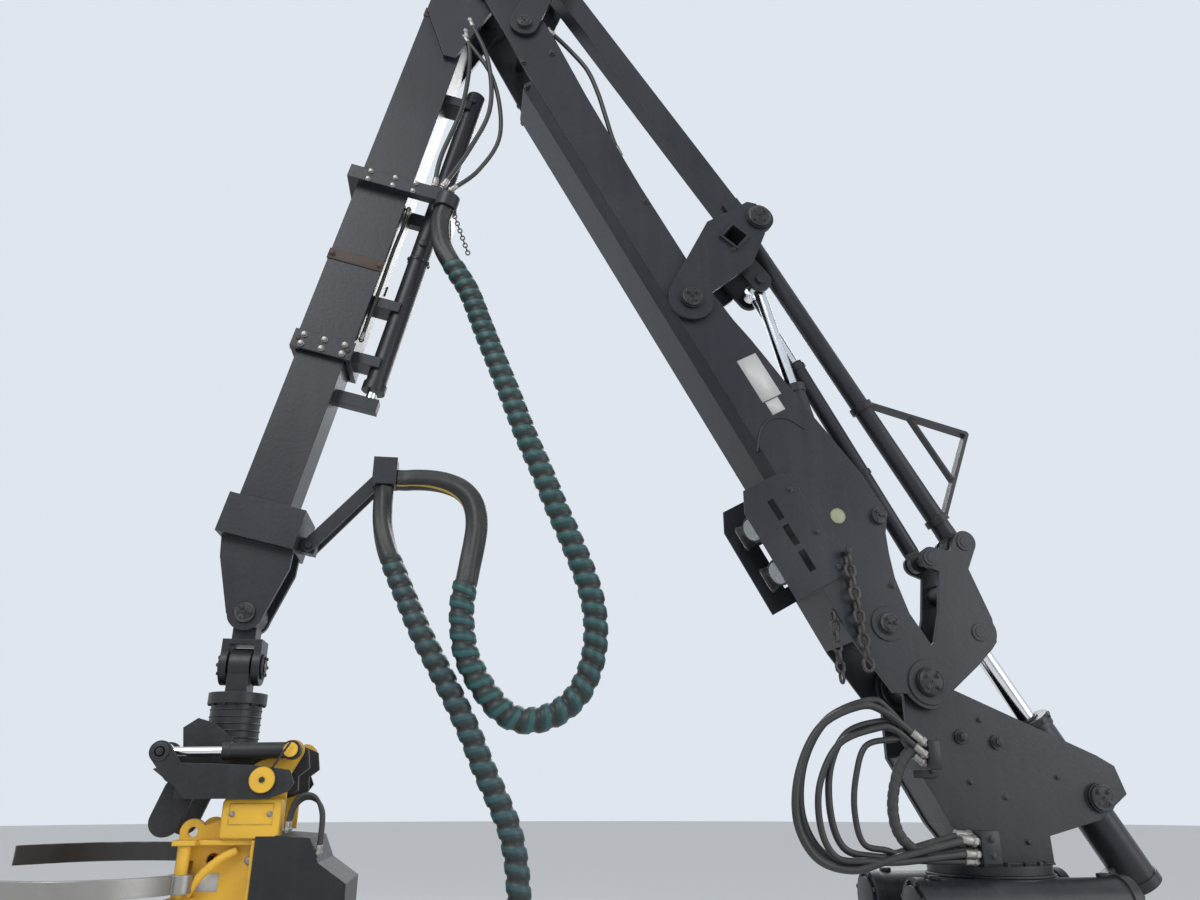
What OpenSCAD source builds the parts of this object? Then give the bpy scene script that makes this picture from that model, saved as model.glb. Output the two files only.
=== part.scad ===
// Forestry harvester crane: slewing base, pillar, parallel boom linkage, telescopic
// stick, rotator and felling head. Millimetres, X is reach, Z is up, and the origin
// is the centre of the underside of the slewing base.

/* [Slewing base] */
// Diameter of the round mounting flange
base_flange_d = 820; // [760:10:900]
// Thickness of the mounting flange
base_flange_t = 36; // [24:2:50]
// Distance of the mounting bolts from the rim of the flange
bolt_inset = 40; // [36:2:60]
// Diameter of each mounting bolt hole
base_bolt_d = 26; // [18:1:32]
// Height of the slewing bearing above the mounting face
bearing_z = 352; // [340:1:380]
// Diameter of each slewing rack tube
rack_d = 200; // [160:5:210]
// Length of each slewing rack tube
rack_len = 900; // [700:10:1000]

/* [Pillar and lift] */
// Reach of the foot pin from the slewing axis
foot_x = 245; // [200:5:300]
// Height of the foot pin above the mounting face
foot_z = 1100; // [1060:5:1140]
// Diameter of the foot pin that boom and rocker share
foot_pin_d = 90; // [70:2:100]
// Gap between the inner faces of the pillar plates
pillar_gap = 196; // [190:2:210]
// Thickness of each pillar plate
pillar_t = 24; // [16:1:26]
// Outside diameter of the lift cylinder
lift_d = 165; // [130:5:175]
// Diameter of the lift cylinder rod
lift_rod_d = 75; // [50:1:90]

/* [Boom] */
// Distance from the foot pin to the stick pin
boom_len = 4145; // [4000:5:4300]
// Angle of the boom above the horizontal at rest
boom_a = 61; // [61:1:61]
// Outside width of the boom
boom_w = 320; // [310:2:340]
// Thickness of the boom side plates
boom_t = 12; // [8:1:14]
// Height of the flat bottom below the boom's centre line
boom_low = 140; // [130:2:150]
// Height of the slim part of the boom above its centre line
boom_top = 108; // [100:2:120]

/* [Boom linkage] */
// Outside diameter of the lower link rod
lower_rod_d = 90; // [70:2:96]
// Height of the box section upper link rod
upper_rod_h = 116; // [90:2:120]
// Outside diameter of the boom cylinder
swing_d = 100; // [80:2:104]
// Diameter of the boom cylinder rod
swing_rod_d = 56; // [40:1:64]
// Outside diameter of the balance cylinder
balance_d = 76; // [60:2:80]
// Diameter of the balance cylinder rod
balance_rod_d = 44; // [30:1:50]
// Thickness of the mid lever plates
lever_t = 20; // [14:1:24]

/* [Stick] */
// Outside height of the outer stick box
stick_h = 250; // [240:2:260]
// Outside width of the outer stick box
stick_w = 220; // [210:2:224]
// Wall of the stick boxes
stick_wall = 10; // [6:1:12]
// Gap between the outer and the inner stick box
slide_gap = 8; // [6:0.5:10]
// Length of the outer stick box
outer_len = 2480; // [2400:10:2520]
// Distance from the stick pin to the tip pin along the telescope
tip_reach = 3494; // [3450:2:3550]
// Outside diameter of the telescope cylinder
ext_d = 95; // [80:1:100]
// Diameter of the telescope cylinder rod
ext_rod_d = 50; // [36:1:60]

/* [Link and rotator] */
// Distance between the two crossed pins of the link
link_drop = 200; // [180:5:220]
// Diameter of the brake discs of the link
brake_d = 150; // [120:2:160]
// Diameter of the rotator body
rotator_d = 190; // [160:2:200]

/* [Head] */
// Inside width between the plates of the tilt frame
tilt_gap = 240; // [236:2:250]
// Diameter of each feed roller
roller_d = 380; // [340:5:390]
// Length of each feed roller
roller_h = 250; // [220:5:250]
// Outside diameter of the tilt cylinders
tilt_d = 64; // [56:2:64]

/* [Hidden] */
$fn = 48;

// Running clearance on the radius of a pin in its bore
fit = 0.3;
// Side clearance between plates that swing past each other
side = 8;

// Colours of the painted and bright parts
dark = [0.13, 0.14, 0.16];
black = [0.05, 0.05, 0.055];
bright = [0.75, 0.76, 0.78];
yellow = [0.85, 0.62, 0.10];
hose_teal = [0.10, 0.25, 0.28];

// Pins in the crane's own plane, as [reach, height]
foot = [foot_x, foot_z];
function from_foot(p) = foot + p;
swing_pin = from_foot([158, 244]);
top_pin = from_foot([146, 730]);
rocker_top = from_foot([-300, 645]);
rocker_lift = from_foot([-311, 231]);
rocker_front = from_foot([-125, 567]);
trunnion = from_foot([-723, -460]);
lever_pin = from_foot([980, 1775]);
lever_top = from_foot([615, 2270]);
lever_low = from_foot([600, 1960]);
stick_a = -77.6;
tip_off = 85;

// Lengths, directions and points of the plane
function len(p, q) = norm(q - p);
function dir(p, q) = atan2(q[1] - p[1], q[0] - p[0]);
function polar(p, a, r) = p + r * [cos(a), sin(a)];
// A point of a frame at origin o whose x points along angle a
function local(o, a, p) = [
    o[0] + p[0] * cos(a) - p[1] * sin(a),
    o[1] + p[0] * sin(a) + p[1] * cos(a)
];
// The same point seen in that frame
function seen(o, a, p) = let (d = p - o) [
    d[0] * cos(a) + d[1] * sin(a),
    -d[0] * sin(a) + d[1] * cos(a)
];
stick_pin = polar(foot, boom_a, boom_len);
function from_stick(p) = stick_pin + p;
knee_pin = from_stick([-179.54, -250.3]);
knee_top = from_stick([-354.54, 229.7]);
tail_pin = from_stick([-104.54, 409.7]);
tip_pin = local(stick_pin, stick_a, [tip_reach, tip_off]);
cross_pin = tip_pin - [0, link_drop];
rotor_z = cross_pin[1] - 300;

// Profiles drawn in the plane of reach and height
module plane(o = [0, 0], a = 0) {
    translate([o[0], 0, o[1]])
        rotate([0, -a, 0])
            children();
}
// A plate of thickness t centred on y
module plate(y, t) {
    translate([0, y + t / 2, 0])
        rotate([90, 0, 0])
            linear_extrude(t)
                children();
}
// Two plates, mirrored across the middle plane
module plate_pair(y, t) {
    plate(y, t)
        children();
    plate(-y, t)
        children();
}
// A round bar across the crane at point p
module cross_bar(p, d, w, y = 0) {
    translate([p[0], y + w / 2, p[1]])
        rotate([90, 0, 0])
            cylinder(d = d, h = w);
}
// A round bar from y0 to y1
module bar_between(p, d, y0, y1) {
    cross_bar(p, d, y1 - y0, (y0 + y1) / 2);
}
// Outline of a flat link: two round ends joined by their common tangents, or just inside them
module link_2d(p, r, q, s, inset = 0) {
    l = len(p, q);
    a = dir(p, q);
    b = acos((r - s) / l);
    translate(p)
        circle(r);
    translate(q)
        circle(s);
    polygon([
        polar(p, a + b, r - inset), polar(q, a + b, s - inset),
        polar(q, a - b, s - inset), polar(p, a - b, r - inset)
    ]);
}
// Children turned so that their z runs from p to q
module along(p, q, y = 0) {
    translate([p[0], y, p[1]])
        rotate([0, 90 - dir(p, q), 0])
            children();
}
// Bolt heads on a circle
module bolt_ring(pcd, n, d, h) {
    for (i = [0:n - 1])
        rotate([0, 0, (i + 0.5) * 360 / n])
            translate([pcd / 2, 0, 0])
                cylinder(d = d, h = h, $fn = 6);
}

// Slewing base: a round flange, a bearing housing and two rack tubes
base_pcd = base_flange_d - 2 * bolt_inset;
housing_d = 520;
rack_y = 215;
rack_z = 244;
module slew_base() {
    color(dark) {
        difference() {
            cylinder(d = base_flange_d, h = base_flange_t, $fn = 96);
            for (i = [0:15])
                rotate([0, 0, (i + 0.5) * 360 / 16])
                    translate([base_pcd / 2, 0, -1])
                        cylinder(d = base_bolt_d, h = base_flange_t + 2);
        }
        difference() {
            union() {
                cylinder(d = housing_d, h = bearing_z - 12, $fn = 96);
                for (s = [-1, 1]) {
                    translate([-rack_len / 2, s * rack_y, rack_z])
                        rotate([0, 90, 0])
                            cylinder(d = rack_d, h = rack_len);
                    translate([-170, s * rack_y - 60, base_flange_t - 1])
                        cube([340, 120, rack_z - base_flange_t]);
                    for (e = [-1, 1])
                        translate([e * (rack_len / 2 - 20) - 20, s * rack_y, rack_z])
                            rotate([0, 90, 0])
                                cylinder(d = rack_d + 16, h = 40);
                }
            }
            translate([0, 0, -1])
                cylinder(d = 260, h = 200);
        }
        translate([0, 0, bearing_z - 13])
            cylinder(d = 470, h = 12.7, $fn = 96);
    }
}

// Pillar: a bearing ring with two side plates that lean back to the lift trunnion
pillar_y = (pillar_gap + pillar_t) / 2;
trunnion_d = 60;
pillar_foot_z = bearing_z + 34;
module pillar_2d() {
    polygon([
        [foot[0] - 156, pillar_foot_z - 1], [foot[0] - 37, 540], [foot[0] + 105, 800],
        [foot[0] + 103, foot[1]], [foot[0] - 60, foot[1] + 100],
        [foot[0] - 117, foot[1] - 22], [trunnion[0] - 20, trunnion[1] + 170],
        [trunnion[0] - 96, trunnion[1] + 127], [trunnion[0] - 130, trunnion[1] + 14],
        [trunnion[0] + 12, trunnion[1] - 87], [-222, 492], [-222, pillar_foot_z - 1]
    ]);
    translate(foot)
        circle(117);
}
module pillar() {
    color(dark) {
        difference() {
            union() {
                translate([0, 0, bearing_z])
                    cylinder(d = 490, h = 34, $fn = 96);
                plate_pair(pillar_y, pillar_t)
                    pillar_2d();
                // Front and foot plates that close the box below the lift cylinder
                plane([foot[0] - 37, 540], dir([foot[0] - 156, pillar_foot_z], [foot[0] - 37, 540]))
                    translate([-160, -pillar_gap / 2 - 1, 6])
                        cube([160, pillar_gap + 2, 20]);
                plane([foot[0] + 105, 800], dir([foot[0] - 37, 540], [foot[0] + 105, 800]))
                    translate([-300, -pillar_gap / 2 - 1, 6])
                        cube([296, pillar_gap + 2, 20]);
                // Trunnion and foot bosses on the outside of the plates
                for (s = [-1, 1]) {
                    cross_bar(trunnion, 120, 20, s * (pillar_gap / 2 + pillar_t + 9));
                    cross_bar(foot, 170, 18, s * (pillar_gap / 2 + pillar_t + 8));
                    cross_bar([foot[0] - 130, 880], 60, 12, s * (pillar_gap / 2 + pillar_t + 5));
                    cross_bar([foot[0] - 290, 860], 60, 12, s * (pillar_gap / 2 + pillar_t + 5));
                }
            }
            cross_bar(trunnion, trunnion_d + 2 * fit, 400);
            cross_bar(foot, foot_pin_d + 2 * fit, 400);
        }
        translate([0, 0, pillar_foot_z])
            bolt_ring(430, 16, 26, 14);
    }
}

// Rocker: two shaped plates that carry the linkage, with the foot pin through their hub
rocker_t = 20;
rocker_y = pillar_gap / 2 - side - rocker_t / 2;
rocker_in = rocker_y - rocker_t / 2;
pin_d = 50;
// Half width of the eye of the lift rod
lift_eye = 64;
module rocker() {
    color(dark) {
        plate_pair(rocker_y, rocker_t) {
            polygon([
                [75, 1715], [-37, 1672], [-134, 1394], [-140, 1290], [-111, 1255],
                [-30, 1180], [150, 1035], [245, 995], [330, 1100], [173, 1235], [119, 1414]
            ]);
            link_2d(rocker_lift, 80, foot, 105);
            link_2d([20, 1640], 60, rocker_front, 50);
            link_2d([-10, 1640], 50, rocker_top, 55);
        }
        cross_bar(foot, 150, 2 * rocker_in + 2);
        cross_bar([40, 1520], 90, 2 * rocker_in + 2);
        for (s = [-1, 1])
            cross_bar(rocker_top, 96, rocker_in - 30, s * (rocker_in + 32) / 2);
        // Foot pin with its retaining caps
        cross_bar(foot, foot_pin_d, boom_w + 20);
        for (s = [-1, 1])
            cross_bar(foot, foot_pin_d + 34, 12, s * (boom_w / 2 + 14));
        for (p = [rocker_front, rocker_top])
            cross_bar(p, pin_d, 2 * rocker_y + rocker_t + 16);
        // Stub pins on both sides of the lift rod's eye
        for (s = [-1, 1])
            cross_bar(rocker_lift, pin_d, 33, s * (lift_eye + 17.5));
        for (p = [rocker_lift, rocker_front, rocker_top])
            for (s = [-1, 1])
                cross_bar(p, pin_d + 30, 7, s * (rocker_y + rocker_t / 2 + 2));
    }
}

// Lift cylinder, hung in the pillar on a trunnion
lift_len = len(trunnion, rocker_lift);
lift_up = 376;
lift_down = 407;
module lift_barrel() {
    color(dark)
        difference() {
            union() {
                along(trunnion, rocker_lift) {
                    translate([0, 0, -lift_down])
                        cylinder(d = lift_d, h = lift_down + lift_up);
                    translate([0, 0, lift_up - 50])
                        cylinder(d = lift_d + 14, h = 50);
                    translate([0, 0, -lift_down])
                        cylinder(d = lift_d + 14, h = 40);
                    translate([0, 0, -45])
                        cylinder(d = lift_d + 14, h = 90);
                    translate([lift_d / 2 - 10, -25, -lift_down + 60])
                        cube([45, 50, 70]);
                }
                cross_bar(trunnion, trunnion_d, pillar_gap + 2 * pillar_t);
            }
            along(trunnion, rocker_lift)
                translate([0, 0, -lift_down + 40])
                    cylinder(d = lift_rod_d + 2 * fit, h = lift_down + lift_up);
        }
}
module lift_rod() {
    color(bright) {
        along(trunnion, rocker_lift)
            translate([0, 0, -lift_down + 140])
                cylinder(d = lift_rod_d, h = lift_len + lift_down - 140 - 30);
        cross_bar(rocker_lift, 130, 2 * lift_eye);
    }
}

// Boom: side plates in the boom's own frame, x along it and y across it upwards
boom_y = (boom_w - boom_t) / 2;
boom_in = boom_w / 2 - boom_t;
knee_b = seen(foot, boom_a, knee_pin);
lever_b = seen(foot, boom_a, lever_pin);
swing_b = seen(foot, boom_a, swing_pin);
top_b = seen(foot, boom_a, top_pin);
boom_edge = 95;
// End of the slim part, where the fork of the stick begins
slim_end = boom_len - 675;
module boom_2d() {
    polygon([
        [40, -170], [290, -200], [570, -198], [950, -boom_edge], [slim_end, -boom_edge],
        [boom_len, -75], [boom_len + 20, 80], [slim_end + 370, 150], [slim_end + 220, 150],
        [slim_end - 170, 126],
        [2700, boom_top], [2240, boom_top], [1850, 145], [1720, 168], [1260, 225], [910, 276],
        [700, 276], [630, 214], [545, 172], [440, 130], [280, 97], [0, 110], [-60, 0]
    ]);
    circle(112);
    translate([boom_len, 0])
        circle(92);
}
module boom() {
    color(dark) {
        plane(foot, boom_a)
            difference() {
                union() {
                    plate_pair(boom_y, boom_t)
                        boom_2d();
                    // Bottom with bent corners, as a folded trough
                    translate([900, 0, 0])
                        rotate([90, 0, 90])
                            linear_extrude(slim_end - 870)
                                polygon([
                                    [boom_w / 2, -boom_edge + 4], [boom_w / 2 - 40, -boom_low],
                                    [-boom_w / 2 + 40, -boom_low], [-boom_w / 2, -boom_edge + 4],
                                    [-boom_w / 2 + 14, -boom_edge + 4],
                                    [-boom_w / 2 + 46, -boom_low + boom_t],
                                    [boom_w / 2 - 46, -boom_low + boom_t],
                                    [boom_w / 2 - 14, -boom_edge + 4]
                                ]);
                    // Belly plate under the foot
                    plate(0, 2 * boom_in + 2)
                        polygon([
                            [300, -200], [570, -198], [905, -105], [905, -93], [570, -186], [300, -188]
                        ]);
                    // Top plate of the slim part
                    plate(0, 2 * boom_in + 2)
                        polygon([
                            [1850, 133], [2240, boom_top - 12], [2700, boom_top - 12],
                            [slim_end - 170, 114], [slim_end + 190, 138], [slim_end + 190, 149],
                            [slim_end - 170, 126],
                            [2700, boom_top], [2240, boom_top], [1850, 145]
                        ]);
                    // End plate between the slim part and the fork of the stick
                    plate(0, 2 * boom_in + 2)
                        polygon([
                            [slim_end + 10, -136], [slim_end + 30, -136],
                            [slim_end + 50, 130], [slim_end + 30, 130]
                        ]);
                    cross_bar([lever_b[0], lever_b[1]], 130, boom_w + 8);
                    for (s = [-1, 1]) {
                        cross_bar([boom_len, 0], 150, 24, s * (boom_w / 2 - 6));
                        cross_bar([0, 0], 190, 20, s * (boom_w / 2 - 2.4));
                        cross_bar(swing_b, 150, 22, s * (boom_w / 2 - 4));
                        cross_bar(knee_b, 110, 18, s * (boom_w / 2 - 6));
                    }
                }
                cross_bar([0, 0], foot_pin_d + 2 * fit, 500);
                cross_bar([lever_b[0], lever_b[1]], 60 + 2 * fit, 500);
                cross_bar(knee_b, pin_d + 2 * fit, 500);
            }
        // Pins that the boom carries: boom cylinder, stay rod and stick
        cross_bar(swing_pin, 60, boom_w + 24);
        cross_bar(top_pin, 46, boom_w + 16);
        for (s = [-1, 1]) {
            cross_bar(top_pin, 80, 8, s * (boom_w / 2 + 4));
            cross_bar(swing_pin, 96, 8, s * (boom_w / 2 + 10));
            cross_bar(stick_pin, 110, 10, s * (boom_w / 2 + 10));
        }
        cross_bar(stick_pin, 70, boom_w + 20);
    }
}
// Guard with three slots for the work lamps under the boom foot
module lamp_guard() {
    color(dark)
        plane(foot, boom_a)
            for (s = [-1, 1])
                plate(s * (boom_w / 2 + 4.3), 8)
                    difference() {
                        polygon([[560, -40], [1060, -40], [1090, -90], [1090, -280], [1000, -330], [560, -330]]);
                        for (i = [0:2])
                            translate([640 + 130 * i, -210])
                                square([100, 34]);
                    }
}

// Lower link rod: tube with a fork at the rocker and an eye at the mid lever
lower_len = len(rocker_top, lever_top);
lower_eye = 47;
module lower_rod() {
    color(dark)
        difference() {
            union() {
                along(rocker_top, lever_top) {
                    translate([0, 0, 60])
                        cylinder(d = lower_rod_d, h = lower_len - 100);
                    translate([-38, -26, 0])
                        cube([76, 52, 90]);
                    // Flat bar guard over the hoses beside the rod, on two clamps
                    for (z = [128, 776])
                        translate([0, 0, z])
                            cylinder(d = lower_rod_d + 24, h = 34);
                    translate([0, 25, 0])
                        rotate([90, 0, 0]) {
                            linear_extrude(50)
                                polygon([
                                    [-36, 130], [-412, 428], [-412, 444], [-36, 808],
                                    [-36, 790], [-394, 436], [-36, 152]
                                ]);
                            translate([0, 0, 5])
                                linear_extrude(40)
                                    polygon([[-200, 266], [-188, 258], [-188, 648], [-200, 640]]);
                        }
                }
                cross_bar(rocker_top, 110, 56);
                cross_bar(lever_top, 110, 2 * lower_eye);
            }
            cross_bar(rocker_top, pin_d + 2 * fit, 400);
        }
}

// Balance cylinder between the rocker and the mid lever
balance_y = -42;
balance_eye = 24;
balance_len = len(rocker_front, lever_low);
module balance_barrel() {
    color(dark)
        difference() {
            union() {
                along(rocker_front, lever_low, balance_y) {
                    translate([0, 0, 62])
                        cylinder(d = balance_d, h = 1078);
                    translate([-32, -18, 0])
                        cube([64, 36, 70]);
                    for (z = [480, 1100])
                        translate([0, 0, z])
                            cylinder(d = balance_d + 12, h = 24);
                }
                cross_bar(rocker_front, 90, 2 * 20, balance_y);
            }
            cross_bar(rocker_front, pin_d + 2 * fit, 400);
            along(rocker_front, lever_low, balance_y)
                translate([0, 0, 100])
                    cylinder(d = balance_rod_d + 2 * fit, h = 1100);
        }
}
module balance_rod() {
    color(bright) {
        along(rocker_front, lever_low, balance_y)
            translate([0, 0, 900])
                cylinder(d = balance_rod_d, h = balance_len - 920);
        cross_bar(lever_low, 84, 2 * balance_eye, balance_y);
    }
}

// Boom cylinder between the boom foot and the mid lever
swing_y = 50;
swing_eye = 29;
swing_len = len(swing_pin, lever_low);
module swing_barrel() {
    color(dark)
        difference() {
            union() {
                along(swing_pin, lever_low, swing_y) {
                    translate([0, 0, 30])
                        cylinder(d = swing_d, h = 1170);
                    translate([0, 0, 1160])
                        cylinder(d = swing_d + 12, h = 40);
                }
                cross_bar(swing_pin, 110, 2 * 30, swing_y);
            }
            cross_bar(swing_pin, 60 + 2 * fit, 400);
            along(swing_pin, lever_low, swing_y)
                translate([0, 0, 80])
                    cylinder(d = swing_rod_d + 2 * fit, h = 1200);
        }
}
module swing_rod() {
    color(bright) {
        along(swing_pin, lever_low, swing_y)
            translate([0, 0, 800])
                cylinder(d = swing_rod_d, h = swing_len - 820);
        cross_bar(lever_low, 88, 2 * swing_eye, swing_y);
    }
}

// Mid lever: two plates outside the boom, joined by a square tube
lever_y = boom_w / 2 + 6 + lever_t / 2;
lever_low_b = seen(foot, boom_a, lever_low);
lever_top_b = seen(foot, boom_a, lever_top);
hub_b = [2237, 384];
lever_out = boom_w / 2 + 40;
module mid_lever() {
    color(dark) {
        plane(foot, boom_a)
            difference() {
                union() {
                    plate_pair(lever_y, lever_t) {
                        polygon([
                            [1992, -43], [2002, 54], [2067, 390], [2190, 543], [2279, 606], [2361, 597],
                            [2390, 559], [2381, 473], [2369, 303], [2178, 23], [2105, -80], [2027, -90]
                        ]);
                        translate(lever_b)
                            circle(112);
                        translate(lever_top_b)
                            circle(78);
                    }
                    plate_pair(95, 22)
                        link_2d(hub_b, 60, lever_low_b, 58);
                    translate([hub_b[0], 0, hub_b[1]])
                        rotate([0, 22, 0])
                            cube([110, 2 * lever_y + lever_t + 30, 110], center = true);
                }
                translate([hub_b[0], 0, hub_b[1]])
                    rotate([0, 22, 0])
                        cube([88, 600, 88], center = true);
            }
        cross_bar(lever_pin, 60, boom_w + 80);
        // Stub pins on both sides of the rods' eyes
        bar_between(lever_low, pin_d, swing_y + swing_eye + 1, 120);
        bar_between(lever_low, pin_d, -120, balance_y - balance_eye - 1);
        for (s = [-1, 1]) {
            cross_bar(lever_top, 60, lever_out - lower_eye - 1, s * (lever_out + lower_eye + 1) / 2);
            cross_bar(lever_pin, 110, 12, s * (boom_w / 2 + 34));
            cross_bar(lever_top, 130, 12, s * (boom_w / 2 + 34));
        }
    }
}

// Upper link rod: box section from the mid lever to the knee rocker
upper_len = len(lever_top, knee_top);
upper_eye = 57;
module upper_rod() {
    color(dark)
        difference() {
            union() {
                along(lever_top, knee_top) {
                    translate([-upper_rod_h / 2, -54, 100])
                        cube([upper_rod_h, 108, upper_len - 130]);
                    for (s = [-1, 1])
                        translate([-46, s * 66 - 13, 0])
                            cube([92, 26, 200]);
                }
                for (s = [-1, 1])
                    cross_bar(lever_top, 130, 28, s * 66);
                cross_bar(knee_top, 110, 2 * upper_eye);
            }
            cross_bar(lever_top, 60 + 2 * fit, 400);
        }
}

// Knee rocker: two plates outside the boom tip
knee_y = boom_w / 2 + 6 + 9;
knee_out = boom_w / 2 + 30;
link_y = 88;
link_t = 20;
module knee_rocker() {
    color(dark) {
        plate_pair(knee_y, 18)
            link_2d(knee_pin, 75, knee_top, 62);
        cross_bar(knee_pin, pin_d, 2 * knee_out);
        for (s = [-1, 1]) {
            // Stub pins that pass through the knee link up to the upper rod's eye
            cross_bar(knee_top, pin_d, knee_out - upper_eye - 1, s * (knee_out + upper_eye + 1) / 2);
            cross_bar(knee_pin, 86, 8, s * (boom_w / 2 + 28));
            cross_bar(knee_top, 86, 8, s * (boom_w / 2 + 28));
        }
    }
}
module knee_link() {
    color(dark) {
        difference() {
            union() {
                plate_pair(link_y, link_t)
                    link_2d(knee_top, 55, tail_pin, 55);
                plate(0, 2 * link_y - link_t + 2)
                    link_2d(
                        polar(knee_top, dir(knee_top, tail_pin), 130), 28,
                        polar(knee_top, dir(knee_top, tail_pin), 180), 28.1
                    );
            }
            cross_bar(knee_top, pin_d + 2 * fit, 400);
        }
        cross_bar(tail_pin, 70, 2 * link_y);
    }
}

// Stick: x runs along the telescope from the stick pin, y points forward
stick_mid = 168;
stick_start = -150;
outer_end = stick_start + outer_len;
inner_h = stick_h - 2 * stick_wall - 2 * slide_gap;
inner_w = stick_w - 2 * stick_wall - 2 * slide_gap;
tail_s = seen(stick_pin, stick_a, tail_pin);
ext_off = -85;
// Wear pads reach 2 mm into the wall that holds them
pad_t = slide_gap - fit + 2;
module stick_frame() {
    plane(stick_pin, stick_a)
        children();
}
module box_tube(x0, x1, h, w, wall) {
    translate([x0, -w / 2, stick_mid - h / 2])
        difference() {
            cube([x1 - x0, w, h]);
            translate([-1, wall, wall])
                cube([x1 - x0 + 2, w - 2 * wall, h - 2 * wall]);
        }
}
module stick() {
    color(dark)
        stick_frame() {
            difference() {
                union() {
                    box_tube(stick_start, outer_end, stick_h, stick_w, stick_wall);
                    plate_pair(stick_w / 2 + 12, 26) {
                        difference() {
                            union() {
                                link_2d([0, 0], 92, tail_s, 62, 1.5);
                                polygon([
                                    [-60, 20], [tail_s[0] + 60, tail_s[1] + 30], [-150, 60], [-150, 285],
                                    [250, 285], [520, 120], [520, 60], [50, -60]
                                ]);
                            }
                            translate([-60, 120])
                                square([110, 60]);
                        }
                    }
                    // Wrap-round collar at the mouth of the outer box
                    difference() {
                        translate([outer_end - 90, -stick_w / 2 - 12, stick_mid - stick_h / 2 - 12])
                            cube([90, stick_w + 24, stick_h + 24]);
                        translate([outer_end - 91, -stick_w / 2 + 2, stick_mid - stick_h / 2 + 2])
                            cube([92, stick_w - 4, stick_h - 4]);
                    }
                    // Wear pads that guide the inner box
                    for (s = [-1, 1]) {
                        translate([outer_end - 65, s * (inner_w / 2 + fit + pad_t / 2), stick_mid])
                            cube([120, pad_t, 120], center = true);
                        translate([outer_end - 65, 0, stick_mid + s * (inner_h / 2 + fit + pad_t / 2)])
                            cube([120, 120, pad_t], center = true);
                    }
                    // Saddles that hold the telescope cylinder
                    for (x = [700, outer_end - 380, outer_end - 80])
                        translate([x, -60, ext_off])
                            cube([50, 120, stick_mid - stick_h / 2 - ext_off + 1]);
                }
                cross_bar([0, 0], 70 + 2 * fit, 400);
                translate([600, 0, ext_off])
                    rotate([0, 90, 0])
                        cylinder(d = ext_d, h = 1900);
            }
            // Stub pins on both sides of the knee link
            for (s = [-1, 1])
                cross_bar(tail_s, pin_d, 46, s * (link_y + link_t / 2 + 24));
        }
}
module ext_barrel() {
    color(dark)
        stick_frame()
            difference() {
                union() {
                    translate([620, 0, ext_off])
                        rotate([0, 90, 0])
                            cylinder(d = ext_d, h = 1780);
                    translate([2360, 0, ext_off])
                        rotate([0, 90, 0])
                            cylinder(d = ext_d + 14, h = 40);
                }
                translate([680, 0, ext_off])
                    rotate([0, 90, 0])
                        cylinder(d = ext_rod_d + 2 * fit, h = 1800);
            }
}
// Bracket round the stick and the telescope cylinder, with the hose gland
bracket_x = 1340;
bracket_t = 46;
bracket_low = ext_off - ext_d / 2 - fit;
gland_y = 150;
module valve_bracket() {
    color(dark)
        stick_frame() {
            difference() {
                translate([bracket_x, -stick_w / 2 - bracket_t, bracket_low - 38])
                    cube([70, stick_w + 2 * bracket_t, stick_mid + stick_h / 2 + bracket_t - bracket_low + 38]);
                translate([bracket_x - 1, -stick_w / 2 - fit, bracket_low])
                    cube([72, stick_w + 2 * fit, stick_mid + stick_h / 2 + fit - bracket_low]);
            }
            translate([bracket_x + 40, gland_y, -152])
                rotate([0, 90, 0])
                    cylinder(d = 116, h = 70);
        }
}
inner_end = tip_reach - 454;
arm_pin = [inner_end + 120, -52];
arm_tip = [inner_end - 265, -256];
arm_end = local(stick_pin, stick_a, arm_tip);
module telescope() {
    color(dark)
        stick_frame() {
            box_tube(20, inner_end + 1, inner_h, inner_w, stick_wall);
            difference() {
                union() {
                    translate([inner_end, -130, -16])
                        cube([170, 260, 320]);
                    plate_pair(72, 24)
                        polygon([
                            [inner_end + 160, -10], [inner_end + 160, 290], [inner_end + 260, 260],
                            [tip_reach + 20, tip_off + 70], [tip_reach + 20, tip_off - 66], [inner_end + 240, -20]
                        ]);
                    for (s = [-1, 1])
                        cross_bar([tip_reach, tip_off], 140, 24, s * 72);
                    // Lug and pin of the hose arm
                    translate([inner_end + 90, -29, arm_pin[1] - 30])
                        cube([60, 58, 68]);
                    cross_bar(arm_pin, 30, 110);
                    // Lug for the rod of the telescope cylinder
                    translate([2440, -30, ext_off - 45])
                        cube([60, 60, stick_mid - inner_h / 2 - ext_off + 46]);
                }
                translate([2400, 0, ext_off])
                    rotate([0, 90, 0])
                        cylinder(d = ext_rod_d, h = 90);
            }
            cross_bar([tip_reach, tip_off], 60, 190);
        }
}
module ext_rod() {
    color(bright)
        stick_frame()
            translate([700, 0, ext_off])
                rotate([0, 90, 0])
                    cylinder(d = ext_rod_d, h = 1789.7);
}
// Arm that carries the hose bundles clear of the stick, with their junction block
module hose_arm() {
    color(dark) {
        stick_frame() {
            difference() {
                plate_pair(37.7, 16)
                    link_2d(arm_pin, 28, arm_tip, 26);
                cross_bar(arm_pin, 30 + 2 * fit, 200);
            }
            bar_between(arm_tip, 40, -46, 72);
        }
        translate([arm_end[0] - 60.4, 22, arm_end[1] - 70.06])
            cube([100, 100, 120]);
    }
}

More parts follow.
